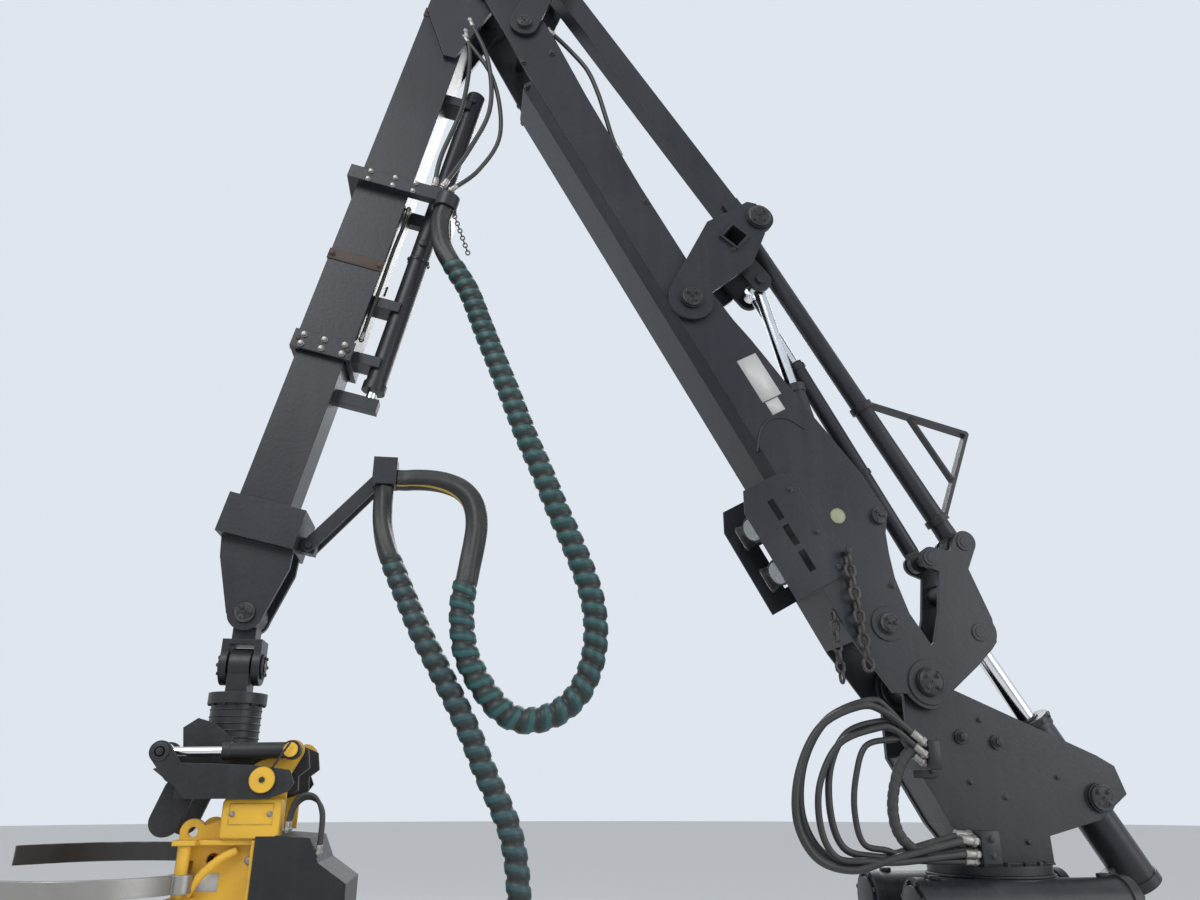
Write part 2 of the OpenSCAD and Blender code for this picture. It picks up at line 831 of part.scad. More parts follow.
// Link with brake discs on two crossed pins
module tip_link() {
    color(dark) {
        difference() {
            union() {
                cross_bar(tip_pin, 130, 100);
                translate([tip_pin[0] - 45, -50, cross_pin[1] + 80])
                    cube([90, 100, link_drop - 80]);
                for (s = [-1, 1])
                    translate([cross_pin[0] + s * 62 - 14, -60, cross_pin[1] - 20])
                        cube([28, 120, 110]);
                translate([cross_pin[0] - 76, -60, cross_pin[1] + 80])
                    cube([152, 120, 20]);
                for (s = [-1, 1])
                    translate([cross_pin[0] + s * 62 - 14, 0, cross_pin[1]])
                        rotate([0, 90, 0])
                            cylinder(d = brake_d, h = 28);
            }
            cross_bar(tip_pin, 60 + 2 * fit, 200);
        }
        translate([cross_pin[0] - 90, 0, cross_pin[1]])
            rotate([0, 90, 0])
                cylinder(d = pin_d, h = 180);
    }
}
module rotator() {
    color(dark)
        translate([cross_pin[0], 0, cross_pin[1]]) {
            difference() {
                union() {
                    translate([-40, 0, 0])
                        rotate([0, 90, 0])
                            cylinder(d = brake_d - 10, h = 80);
                    translate([-40, -60, -110])
                        cube([80, 120, 110]);
                }
                translate([-60, 0, 0])
                    rotate([0, 90, 0])
                        cylinder(d = pin_d + 2 * fit, h = 120);
            }
            translate([0, 0, -150])
                cylinder(d = rotator_d + 30, h = 42);
            translate([0, 0, -298])
                cylinder(d = rotator_d, h = 149);
        }
}
module rotor() {
    color(dark)
        translate([cross_pin[0], 0, rotor_z - 18])
            cylinder(d = rotator_d + 34, h = 19.7);
}

// Tilt frame: a saddle bolted under the rotor, with inner plates and outer cheeks
function drop(x, z) = cross_pin + [x, z];
tilt_pin = drop(-180, -430);
lever_tip = drop(-262, -325);
rod_pin = drop(185, -335);
tilt_t = 20;
tilt_y = (tilt_gap + tilt_t) / 2;
frame_top = rotor_z - 18;
tilt_cyl_y = 200;
tilt_eye_w = 46;
tilt_rod_d = 36;
cheek_y = 245;
cheek_t = 14;
tilt_pin_d = 60;
module tilt_frame() {
    color(black)
        difference() {
            union() {
                translate([cross_pin[0] - 160, -tilt_gap / 2 - 1, frame_top - 25])
                    cube([290, tilt_gap + 2, 24.7]);
                plate_pair(tilt_y, tilt_t) {
                    translate(cross_pin)
                        polygon([
                            [219, -325], [138, -324], [150, -245], [101, -210], [50, -224], [4, -254],
                            [-34, -285], [-79, -309], [-163, -313], [-245, -294], [-312, -321],
                            [-323, -386], [-286, -415], [-290, -467], [-205, -494], [85, -494],
                            [117, -455], [184, -404]
                        ]);
                    translate(rod_pin)
                        circle(38);
                    // Bumper lug that the head's top flange stops against
                    link_2d(drop(130, -470), 55, drop(165, -570), 54);
                }
                plate_pair(cheek_y, cheek_t) {
                    translate(cross_pin)
                        polygon([
                            [-290, -440], [-270, -395], [-143, -380], [31, -374], [150, -372],
                            [200, -395], [117, -455], [85, -494], [-205, -494], [-270, -470]
                        ]);
                    link_2d(drop(130, -405), 36, rod_pin, 38);
                }
                for (s = [-1, 1]) {
                    // Spacer between the inner plate and the cheek
                    translate([cross_pin[0] + 58, s * (tilt_y + cheek_y) / 2, cross_pin[1] - 447])
                        cube([117, cheek_y - tilt_y, 94], center = true);
                    // Stub pins on both sides of the rod's eye
                    cross_bar(rod_pin, tilt_rod_d, 40, s * 159);
                    cross_bar(rod_pin, tilt_rod_d, 37, s * 239.5);
                }
            }
            cross_bar(tilt_pin, tilt_pin_d + 2 * fit, 600);
        }
}
// Tilt cylinders, from the lever of the head to the front of the tilt frame
tilt_len = len(lever_tip, rod_pin);
module tilt_barrels() {
    color(dark)
        for (s = [-1, 1])
            difference() {
                union() {
                    along(lever_tip, rod_pin, s * tilt_cyl_y) {
                        translate([0, 0, 20])
                            cylinder(d = tilt_d - 6, h = 223);
                        translate([0, 0, 215])
                            cylinder(d = tilt_d, h = 28);
                    }
                    cross_bar(lever_tip, 68, tilt_eye_w, s * tilt_cyl_y);
                }
                cross_bar(lever_tip, tilt_rod_d + 2 * fit, 600);
                along(lever_tip, rod_pin, s * tilt_cyl_y)
                    translate([0, 0, 40])
                        cylinder(d = tilt_rod_d + 2 * fit, h = 300);
            }
}
module tilt_rods() {
    color(bright)
        for (s = [-1, 1]) {
            along(lever_tip, rod_pin, s * tilt_cyl_y)
                translate([0, 0, tilt_len - 235])
                    cylinder(d = tilt_rod_d, h = 235);
            cross_bar(rod_pin, 64, 40, s * tilt_cyl_y);
        }
}

// Felling head, upright: a box column with a neck that hangs on the tilt pin
head_t = 16;
head_y = tilt_gap / 2 + tilt_t + 6 + head_t / 2;
head_in = head_y - head_t / 2;
head_back = -174;
head_front = 98;
head_top = -630;
head_end = -1830;
hinge = [60, 213];
hinge_d = 40;
// Height of each ear that carries the hinge tubes, by its top face
ears = [-816, -1066, -1250, -1466, -1640];
function head_z(z) = cross_pin[1] + z;
module in_plan(z, h) {
    translate([cross_pin[0], 0, head_z(z)])
        linear_extrude(h)
            children();
}
module head_frame() {
    color(yellow) {
        difference() {
            plate_pair(head_y, head_t) {
                translate(cross_pin)
                    polygon([
                        [-254, -430], [-106, -430], [-60, -500], [-45, -560], [10, -580], [98, -600],
                        [head_front, head_end], [head_back, head_end], [head_back, -604], [-254, -604]
                    ]);
                translate(tilt_pin)
                    circle(75);
                translate(drop(55, -605))
                    circle(45);
                link_2d(tilt_pin, 62, lever_tip, 38);
            }
            cross_bar(drop(-27, -698), 46, 600);
            cross_bar(drop(55, -605), 34, 600);
            translate([cross_pin[0] + 40, -300, head_z(-790)])
                cube([34, 600, 90]);
            for (z = [-1040, -1330, -1620])
                translate([cross_pin[0] - 110, -300, head_z(z)])
                    cube([130, 600, 150]);
        }
        // Top flange with the upper ears of the hinge tubes, and the bottom flange
        in_plan(head_top - 18, 18) {
            translate([head_back, -200])
                square([head_front - head_back, 400]);
            translate([20, -hinge[1] - 27])
                square([80, 2 * hinge[1] + 54]);
        }
        in_plan(head_end, 18) {
            translate([head_back, -200])
                square([head_front - head_back, 400]);
            translate([20, -hinge[1] - 27])
                square([80, 2 * hinge[1] + 54]);
        }
        // Back plate behind the valve block
        translate([cross_pin[0] + head_back, -215, head_z(-1400)])
            cube([12, 430, 1400 + head_top - 2]);
        // Hinge tubes of the knives and feed arms, with their ears
        for (s = [-1, 1]) {
            translate([cross_pin[0] + hinge[0], s * hinge[1], head_z(head_end + 8)])
                cylinder(d = hinge_d, h = head_top - head_end - 16);
            for (z = ears)
                translate([cross_pin[0] + 60, s * 200, head_z(z - 12)])
                    cube([80, 80, 24], center = true);
        }
    }
    color(black) {
        cross_bar(tilt_pin, tilt_pin_d, 2 * cheek_y + cheek_t + 24);
        for (s = [-1, 1]) {
            cross_bar(tilt_pin, tilt_pin_d + 30, 8, s * (cheek_y + cheek_t / 2 + 8));
            cross_bar(lever_tip, tilt_rod_d, 91, s * 191.5);
            cross_bar(lever_tip, tilt_rod_d + 16, 7, s * 233.5);
        }
    }
}
// Chute plate with windows between the side plates, that the stem slides along
chute_t = 16;
module chute_plate() {
    color(yellow)
        difference() {
            translate([cross_pin[0] + head_front - chute_t, -head_in, head_z(head_end + 18)])
                cube([chute_t, 2 * head_in, head_top - head_end - 36]);
            for (z = [-960, -1240, -1520, -1780])
                translate([cross_pin[0] + head_front - chute_t - 1, -95, head_z(z)])
                    cube([chute_t + 2, 190, 190]);
        }
}
// Sheet cover over the valves behind the head, open toward the frame
cover_t = 10;
cover_y = 220;
module valve_cover() {
    color(black)
        difference() {
            plate(0, 2 * cover_y)
                translate(cross_pin)
                    polygon([
                        [-174.3, -611], [-362, -625], [-399, -707], [-503, -776],
                        [-503, -1400], [-174.3, -1400]
                    ]);
            plate(0, 2 * (cover_y - cover_t))
                translate(cross_pin)
                    polygon([
                        [-170, -621.5], [-355, -635], [-391, -713], [-493, -782],
                        [-493, -1390], [-170, -1390]
                    ]);
        }
}
// Saw box under the head, open at the front, with the motor and its pin
saw_pivot = [75, 232];
saw_top = head_end - 2;
saw_low = -2010;
bar_z = -1926;
bar_t = 12;
bar_len = 500;
module saw_box() {
    color(black)
        translate([cross_pin[0], 0, cross_pin[1]]) {
            difference() {
                translate([-200, -320, saw_low])
                    cube([320, 610, saw_top - saw_low + 1.7]);
                translate([-188, -308, saw_low + 12])
                    cube([320, 586, saw_top - saw_low - 24]);
            }
            translate([saw_pivot[0], saw_pivot[1], bar_z + bar_t + 0.3])
                cylinder(d = 90, h = saw_top - bar_z - bar_t - 6);
            translate([saw_pivot[0], saw_pivot[1], bar_z - 14])
                cylinder(d = 30, h = 100);
            translate([saw_pivot[0], saw_pivot[1], bar_z - 14])
                cylinder(d = 52, h = 13.7);
        }
}
module saw_bar() {
    color(bright)
        in_plan(bar_z, bar_t)
            difference() {
                union() {
                    translate(saw_pivot)
                        circle(36);
                    translate(saw_pivot - [0, bar_len])
                        circle(35);
                    translate(saw_pivot - [35, bar_len])
                        square([70, bar_len]);
                }
                translate(saw_pivot)
                    circle(15 + fit);
            }
}
// Feed arms on the hinge tubes, with ribbed rollers that roll along the stem
arm_z = -1170;
arm_h = 140;
roller_x = 130;
roller_y = 350;
hub_d = 90;
module feed_arm(s) {
    color(yellow)
        difference() {
            in_plan(arm_z - arm_h / 2, arm_h)
                scale([1, s]) {
                    translate(hinge)
                        circle(44);
                    translate([hinge[0] - 10, hinge[1]])
                        square([56, roller_y + 70 - hinge[1]]);
                }
            translate([cross_pin[0] + hinge[0], s * hinge[1], head_z(arm_z - arm_h)])
                cylinder(d = hinge_d + 2 * fit, h = 2 * arm_h);
        }
    color(black)
        translate([cross_pin[0] + hinge[0] + 45, s * roller_y, head_z(arm_z)])
            rotate([0, 90, 0])
                cylinder(d = hub_d, h = roller_x + roller_h - 19.3 - hinge[0] - 45);
}
module feed_roller(s) {
    color(dark)
        translate([cross_pin[0] + roller_x, s * roller_y, head_z(arm_z)])
            rotate([0, 90, 0])
                difference() {
                    union() {
                        cylinder(d = roller_d - 50, h = roller_h);
                        for (i = [0:17])
                            rotate([0, 0, i * 20])
                                translate([roller_d / 2 - 30, -8, 0])
                                    cube([30, 16, roller_h]);
                    }
                    translate([0, 0, -1])
                        cylinder(d = hub_d + 2 * fit, h = roller_h - 18);
                }
}
// Curved knives hinged on the same tubes, drawn in plan with the left one at +y
knife_root = 42;
module knife(s, z, h) {
    color(yellow)
        difference() {
            union() {
                in_plan(z, h)
                    translate([hinge[0], s * hinge[1]])
                        circle(knife_root);
                children();
            }
            translate([cross_pin[0] + hinge[0], s * hinge[1], head_z(z) - 1])
                cylinder(d = hinge_d + 2 * fit, h = h + 2);
        }
}
// Upper knife: a long open arc
module upper_knife(s, z, h) {
    knife(s, z, h)
        in_plan(z, h)
            scale([1, s])
                intersection() {
                    difference() {
                        translate([400, 60])
                            circle(388, $fn = 96);
                        translate([400, 60])
                            circle(352, $fn = 96);
                    }
                    polygon([
                        [75, 176], [75, 470], [640, 470], [800, 172], [770, 172],
                        [690, 259], [400, 300], [120, 176]
                    ]);
                }
}
// Lower knife: a short hook that closes round the stem
stem_x = 258;
module lower_knife(s, z, h) {
    knife(s, z, h) {
        in_plan(z, h)
            scale([1, s])
                difference() {
                    translate([stem_x, 0])
                        circle(215, $fn = 96);
                    translate([stem_x, 0])
                        circle(185, $fn = 96);
                    polygon([
                        [stem_x, 0], [stem_x + 300, -440], [-200, -440],
                        [-200, 400], [stem_x - 190, 400]
                    ]);
                }
        in_plan(z, h)
            scale([1, s])
                polygon([[60, 249], [168, 208], [180, 186], [160, 172], [60, 177]]);
    }
}

// Free hose bundles, swept along their routes
// The route of the bundle from the stick's bracket to the hose arm, as [x, y, z] from the
// stick pin, for a telescope whose box ends at drawn_end. The far end follows the arm.
drawn_end = 3040;
function hung(r, i, first) = let (
    run = (inner_end - drawn_end) * (first + (1 - first) * i / (count(r) - 1))
) r[i] + [stick_pin[0] + run * cos(stick_a), 0, stick_pin[1] + run * sin(stick_a)];
function hang(r, first) = [for (i = [0:count(r) - 1]) hung(r, i, first)];
bundle_d = 100;
route_stick = [
    [162.5, 150, -1449.3], [179.5, 150, -1527.3], [163.5, 158, -1655.3], [95.5, 175, -1785.3],
    [22.5, 200, -1920.3], [-49.5, 230, -2115.3], [-121.5, 260, -2308.3], [-189.5, 283, -2485.3],
    [-254.5, 300, -2658.3], [-319.5, 307, -2805.3], [-380.5, 310, -2953.3], [-444.5, 310, -3095.3],
    [-500.5, 310, -3230.3], [-536.5, 310, -3345.3], [-550.5, 310, -3460.3], [-540.5, 310, -3575.3],
    [-502.5, 310, -3681.3], [-454.5, 310, -3745.3], [-393.5, 310, -3788.3], [-319.5, 310, -3811.3],
    [-249.5, 310, -3808.3], [-189.5, 310, -3775.3], [-139.5, 310, -3722.3], [-82.5, 310, -3640.3],
    [-41.5, 310, -3547.3], [-22.5, 300, -3398.3], [-36.5, 288, -3265.3], [-57.5, 270, -3125.3],
    [-64.5, 255, -3045.3], [-56.5, 240, -2975.3], [-34.5, 222, -2920.3], [7.5, 195, -2873.3],
    [65.5, 160, -2838.3], [135.5, 120, -2813.3], [205.5, 85, -2801.3], [245.5, 72, -2800.3],
    [285.2, 72, -2800.3]
];
// The route of the bundle from the hose arm down toward the head
head_bundle_d = 90;
route_head = [
    [335.5, 72, -2835.6], [335.5, 72, -2875.3], [334.5, 84, -2935.3], [325.5, 110, -3025.3],
    [295.5, 145, -3130.3], [250.5, 180, -3233.3], [193.5, 222, -3355.3], [131.5, 260, -3483.3],
    [45.5, 292, -3635.3], [-36.5, 310, -3781.3], [-89.5, 310, -3885.3], [-137.5, 310, -3990.3],
    [-189.5, 310, -4090.3], [-236.5, 310, -4191.3], [-264.5, 310, -4300.3], [-278.5, 310, -4416.3],
    [-288.5, 310, -4535.3], [-294.5, 310, -4665.3], [-294.5, 310, -4765.3], [-294.5, 310, -4825.3]
];
function unit(v) = v / norm(v);
function count(r) = [for (p = r) 1] * [for (p = r) 1];
function heading(r, i) = unit(r[min(i + 1, count(r) - 1)] - r[max(i - 1, 0)]);
module sweep(r, d, sides) {
    n = count(r);
    rings = [for (i = [0:n - 1])
        let (t = heading(r, i), u = unit(cross(t, [0, 1, 0.01])), v = cross(t, u))
            for (k = [0:sides - 1])
                r[i] + d / 2 * (cos(k * 360 / sides) * u + sin(k * 360 / sides) * v)];
    skin = [for (i = [0:n - 2]) for (k = [0:sides - 1])
        [i * sides + k, i * sides + (k + 1) % sides, (i + 1) * sides + (k + 1) % sides, (i + 1) * sides + k]];
    caps = [[for (k = [0:sides - 1]) sides - 1 - k], [for (k = [0:sides - 1]) (n - 1) * sides + k]];
    polyhedron(rings, concat(skin, caps), convexity = 8);
}
module hose_bundle_stick() {
    color(hose_teal)
        sweep(hang(route_stick, 0), bundle_d, 10);
}
module hose_bundle_head() {
    color(black)
        sweep(hang(route_head, 1), head_bundle_d, 10);
}
// Block of couplings on the end of the head's bundle
module hose_coupling() {
    color(dark)
        translate(hung(route_head, count(route_head) - 1, 1) - [0, 0, 90]) {
            cylinder(d = head_bundle_d + 20, h = 40);
            cylinder(d = head_bundle_d, h = 89.7);
            for (i = [0:3])
                rotate([0, 0, 45 + i * 90])
                    translate([28, 0, -24])
                        cylinder(d = 34, h = 30);
        }
}

slew_base();
pillar();
rocker();
lift_barrel();
lift_rod();
boom();
lamp_guard();
lower_rod();
balance_barrel();
balance_rod();
swing_barrel();
swing_rod();
mid_lever();
upper_rod();
knee_rocker();
knee_link();
stick();
ext_barrel();
valve_bracket();
telescope();
ext_rod();
hose_arm();
tip_link();
rotator();
rotor();
tilt_frame();
tilt_barrels();
tilt_rods();
head_frame();
chute_plate();
valve_cover();
saw_box();
saw_bar();
feed_arm(1);  // feed_arm_left
feed_arm(-1);  // feed_arm_right
feed_roller(1);  // feed_roller_left
feed_roller(-1);  // feed_roller_right
upper_knife(1, -800, 60);  // upper_knife_left
upper_knife(-1, -730, 70);  // upper_knife_right
lower_knife(1, -1560, 60);  // lower_knife_left
lower_knife(-1, -1630, 60);  // lower_knife_right
hose_bundle_stick();
hose_bundle_head();
hose_coupling();
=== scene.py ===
import math

import bmesh
import bpy
import numpy as np
from mathutils import Matrix, Vector


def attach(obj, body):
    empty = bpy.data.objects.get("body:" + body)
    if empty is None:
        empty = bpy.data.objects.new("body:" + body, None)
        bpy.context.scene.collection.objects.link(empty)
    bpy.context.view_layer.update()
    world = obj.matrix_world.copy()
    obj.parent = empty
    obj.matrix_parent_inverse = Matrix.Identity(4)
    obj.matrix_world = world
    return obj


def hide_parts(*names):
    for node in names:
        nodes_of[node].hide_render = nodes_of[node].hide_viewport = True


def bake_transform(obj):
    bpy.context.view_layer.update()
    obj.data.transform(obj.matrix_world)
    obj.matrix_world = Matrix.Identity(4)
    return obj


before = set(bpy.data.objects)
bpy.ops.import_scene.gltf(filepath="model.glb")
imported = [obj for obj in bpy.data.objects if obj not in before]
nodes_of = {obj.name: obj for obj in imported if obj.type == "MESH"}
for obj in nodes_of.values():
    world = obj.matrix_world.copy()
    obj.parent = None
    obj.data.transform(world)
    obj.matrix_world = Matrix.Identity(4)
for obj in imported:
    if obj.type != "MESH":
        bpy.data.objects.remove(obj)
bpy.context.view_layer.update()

# Camera
# It stands at the crane's left side, 1.79 m above the floor, and looks up at the stick
# and the boom with a wide lens.
lens = bpy.data.cameras.new("photo_camera")
lens.sensor_fit = "HORIZONTAL"
lens.sensor_width = 36.0
lens.lens = 27.03
camera = bpy.data.objects.new("photo_camera", lens)
bpy.context.scene.collection.objects.link(camera)
sight_right = Vector((-0.9890, 0.1478, 0.0))
sight_up = Vector((0.0530, 0.3544, 0.9336))
sight_back = Vector((0.1380, 0.9233, -0.3584))
camera.rotation_euler = Matrix((sight_right, sight_up, sight_back)).transposed().to_euler()
camera.location = (2.216, 3.85, 0.647)
bpy.context.scene.camera = camera

# Hose bundles
# Two bundles of rubber hoses inside a spiral guard of teal plastic strip. The first
# hangs in a long loop from the bracket on the stick to the hose arm, and lets the
# telescope run out. The second goes on from the arm towards the head.
stick_route = [
    (2.417, 0.150, 3.276), (2.434, 0.150, 3.198), (2.418, 0.158, 3.070), (2.350, 0.175, 2.940),
    (2.277, 0.200, 2.805), (2.205, 0.230, 2.610), (2.133, 0.260, 2.417), (2.065, 0.283, 2.240),
    (2.000, 0.300, 2.067), (1.935, 0.307, 1.920), (1.874, 0.310, 1.772), (1.810, 0.310, 1.630),
    (1.754, 0.310, 1.495), (1.718, 0.310, 1.380), (1.704, 0.310, 1.265), (1.714, 0.310, 1.150),
    (1.752, 0.310, 1.044), (1.800, 0.310, 0.980), (1.861, 0.310, 0.937), (1.935, 0.310, 0.914),
    (2.005, 0.310, 0.917), (2.065, 0.310, 0.950), (2.115, 0.310, 1.003), (2.172, 0.310, 1.085),
    (2.213, 0.310, 1.178), (2.232, 0.300, 1.327), (2.218, 0.288, 1.460), (2.197, 0.270, 1.600),
    (2.190, 0.255, 1.680), (2.198, 0.240, 1.750), (2.220, 0.222, 1.805), (2.262, 0.195, 1.852),
    (2.320, 0.160, 1.887), (2.390, 0.120, 1.912), (2.460, 0.085, 1.924), (2.500, 0.072, 1.925),
    (2.5397, 0.072, 1.925),
]
head_route = [
    (2.590, 0.072, 1.8897), (2.590, 0.072, 1.850), (2.589, 0.084, 1.790), (2.580, 0.110, 1.700),
    (2.550, 0.145, 1.595), (2.505, 0.180, 1.492), (2.448, 0.222, 1.370), (2.386, 0.260, 1.242),
    (2.300, 0.292, 1.090), (2.218, 0.310, 0.944), (2.165, 0.310, 0.840), (2.117, 0.310, 0.735),
    (2.065, 0.310, 0.635), (2.018, 0.310, 0.534), (1.990, 0.310, 0.425), (1.976, 0.310, 0.309),
    (1.966, 0.310, 0.190), (1.960, 0.310, 0.060), (1.960, 0.310, -0.040), (1.960, 0.310, -0.100),
]
wrap_pitch = 0.062
strip_share = 0.74
bundle_step = 0.0062
bundle_sides = 30


def smooth_route(points, step):
    """Rounds a route into one Catmull-Rom line with a point about every step metres."""
    p = np.array(points, float)
    p = np.vstack([2 * p[0] - p[1], p, 2 * p[-1] - p[-2]])
    line = []
    for i in range(1, len(p) - 2):
        a, b, c, d = p[i - 1:i + 3]
        for t in np.linspace(0, 1, 12, endpoint=False):
            line.append(0.5 * (2 * b + (c - a) * t + (2 * a - 5 * b + 4 * c - d) * t * t
                               + (3 * b - a - 3 * c + d) * t ** 3))
    line = np.array(line + [p[-2]])
    gone = np.concatenate([[0], np.cumsum(np.linalg.norm(np.diff(line, axis=0), axis=1))])
    at = np.linspace(0, gone[-1], max(2, round(gone[-1] / step)) + 1)
    return np.column_stack([np.interp(at, gone, line[:, k]) for k in range(3)]), at


def swept_hose(name, route, at, sides, radius_at, turn=1.0):
    """Sweeps a round hose along its route. radius_at gives the radius for an angle and a length,
    and turn is the length that counts as one in the UV map."""
    heading = np.gradient(route, axis=0)
    heading /= np.linalg.norm(heading, axis=1)[:, None]
    # Any direction off the first heading will do as the start of the rings
    side = np.cross(heading[0], (0.3, 0.2, 0.9))
    bm = bmesh.new()
    marks = bm.loops.layers.uv.new("along")
    rings = []
    for middle, t, s in zip(route, heading, at):
        side = side - side.dot(t) * t
        side = side / np.linalg.norm(side)
        other = np.cross(t, side)
        ring = []
        for k in range(sides):
            a = 2 * math.pi * k / sides
            r = radius_at(a, s)
            ring.append(bm.verts.new(middle + r * (math.cos(a) * side + math.sin(a) * other)))
        rings.append(ring)
    for i in range(len(rings) - 1):
        for k in range(sides):
            m = (k + 1) % sides
            face = bm.faces.new((rings[i][k], rings[i][m], rings[i + 1][m], rings[i + 1][k]))
            face.smooth = True
            for loop, (u, s) in zip(face.loops, ((k, i), (k + 1, i), (k + 1, i + 1), (k, i + 1))):
                loop[marks].uv = (u / sides, at[s] / turn)
    bm.faces.new(reversed(rings[0]))
    bm.faces.new(rings[-1])
    bmesh.ops.recalc_face_normals(bm, faces=bm.faces)
    mesh = bpy.data.meshes.new(name)
    bm.to_mesh(mesh)
    bm.free()
    hose = bpy.data.objects.new(name, mesh)
    bpy.context.scene.collection.objects.link(hose)
    return hose


def bundle_radius(full, wrap_from, wrap_to):
    """The guard's strip stands proud of the hoses, and bare ends show the round hoses side by side."""
    def radius_at(angle, s):
        inside = full * (0.80 + 0.13 * abs(math.cos(2.5 * (angle + 2.2 * s))))
        phase = (angle / (2 * math.pi) + s / wrap_pitch) % 1.0
        edge = min(1.0, min(phase, strip_share - phase) / 0.10) if phase < strip_share else 0.0
        wrapped = full * (0.86 + 0.14 * max(0.0, edge))
        if s < wrap_from or s > wrap_to:
            return inside
        return wrapped
    return radius_at


def put(tree, socket, source):
    """Joins another node's result to an input, or sets the input to a plain value."""
    if hasattr(source, "is_linked"):
        tree.links.new(source, socket)
    else:
        socket.default_value = source


def adder(tree):
    """A function that adds a node to the tree, with its settings and inputs given by name."""
    def add(kind, **values):
        node = tree.nodes.new(kind)
        for key, value in values.items():
            if key in node.inputs and not hasattr(node, key):
                put(tree, node.inputs[key], value)
            else:
                setattr(node, key, value)
        return node
    return add


def worked(tree, operation, *sources, clamp=False):
    """The result of a calculation on plain numbers and other nodes' results."""
    node = adder(tree)("ShaderNodeMath", operation=operation, use_clamp=clamp)
    for socket, source in zip(node.inputs, sources):
        put(tree, socket, source)
    return node.outputs[0]


def ranged(tree, source, low, high, to_low=0.0, to_high=1.0):
    """A result mapped from one range of values onto another."""
    node = tree.nodes.new("ShaderNodeMapRange")
    for name, value in (("From Min", low), ("From Max", high), ("To Min", to_low), ("To Max", to_high)):
        node.inputs[name].default_value = value
    tree.links.new(source, node.inputs["Value"])
    return node.outputs[0]


def mixed(tree, share, first, second):
    """The colour that lies between two colours by a share."""
    node = adder(tree)("ShaderNodeMix", data_type="RGBA")
    for k, source in ((0, share), (6, first), (7, second)):
        put(tree, node.inputs[k], source)
    return node.outputs[2]


def shader(name):
    """A new material with its node tree, its main shader and a function that adds a node."""
    made = bpy.data.materials.new(name)
    made.use_nodes = True
    tree = made.node_tree
    return made, tree, tree.nodes["Principled BSDF"], adder(tree)


# Grime is a group that every rubber, steel and paint here takes its dust and stains from.
def grime_group():
    """Dust on what faces up, rain streaks and large pale and dark patches."""
    group = bpy.data.node_groups.new("grime", "ShaderNodeTree")
    for label, kind, value in (("Colour", "NodeSocketColor", None), ("Dust colour", "NodeSocketColor", None),
                               ("Dust", "NodeSocketFloat", 0.4), ("Grain size", "NodeSocketFloat", 40.0),
                               ("Roughness", "NodeSocketFloat", 0.5)):
        socket = group.interface.new_socket(label, in_out="INPUT", socket_type=kind)
        if value is not None:
            socket.default_value = value
    for label, kind in (("Colour", "NodeSocketColor"), ("Roughness", "NodeSocketFloat"),
                        ("Height", "NodeSocketFloat")):
        group.interface.new_socket(label, in_out="OUTPUT", socket_type=kind)
    add, link = adder(group), group.links.new
    given, out = add("NodeGroupInput"), add("NodeGroupOutput")
    place = add("ShaderNodeTexCoord").outputs["Object"]
    patches = add("ShaderNodeTexNoise", Vector=place, Scale=1.6, Detail=7.0, Roughness=0.62).outputs["Fac"]
    stretched = add("ShaderNodeMapping", Vector=place, Scale=(16.0, 16.0, 1.2)).outputs[0]
    streaks = add("ShaderNodeTexNoise", Vector=stretched, Scale=1.0, Detail=4.0).outputs["Fac"]
    size = given.outputs["Grain size"]
    grain = add("ShaderNodeTexNoise", Vector=place, Scale=size, Detail=5.0).outputs["Fac"]
    surface = add("ShaderNodeNewGeometry").outputs["Normal"]
    upward = add("ShaderNodeSeparateXYZ", Vector=surface).outputs["Z"]
    stained = worked(group, "ADD", ranged(group, patches, 0.38, 0.72), ranged(group, streaks, 0.46, 0.74))
    specks = worked(group, "MULTIPLY", stained, grain)
    lying = worked(group, "MULTIPLY", specks, ranged(group, upward, -0.2, 1.0, 0.18, 1.0))
    amount = worked(group, "MULTIPLY", lying, given.outputs["Dust"], clamp=True)
    shade = ranged(group, patches, 0.3, 0.7, 0.78, 1.22)
    toned = add("ShaderNodeVectorMath", operation="SCALE", Scale=shade)
    link(given.outputs["Colour"], toned.inputs[0])
    link(mixed(group, amount, toned.outputs[0], given.outputs["Dust colour"]), out.inputs["Colour"])
    rough = worked(group, "MULTIPLY_ADD", amount, 0.5, given.outputs["Roughness"])
    link(worked(group, "MULTIPLY_ADD", grain, 0.16, rough, clamp=True), out.inputs["Roughness"])
    link(grain, out.inputs["Height"])
    return group


grime = grime_group()


def place_grime(tree, main, colour, dust_colour, dust, grain_size, roughness, bump, normal=None):
    """Puts the grime group into a material and joins it to the main shader."""
    add, link = adder(tree), tree.links.new
    # The grain in the group adds about 0.08 to the roughness on average
    laid = add("ShaderNodeGroup", node_tree=grime, Colour=colour, Dust=dust, Roughness=roughness - 0.08)
    laid.inputs["Dust colour"].default_value = (*dust_colour, 1)
    laid.inputs["Grain size"].default_value = grain_size
    link(laid.outputs["Colour"], main.inputs["Base Color"])
    link(laid.outputs["Roughness"], main.inputs["Roughness"])
    relief = add("ShaderNodeBump", Strength=1.0, Distance=bump, Height=laid.outputs["Height"])
    if normal is not None:
        link(normal, relief.inputs["Normal"])
    link(relief.outputs[0], main.inputs["Normal"])


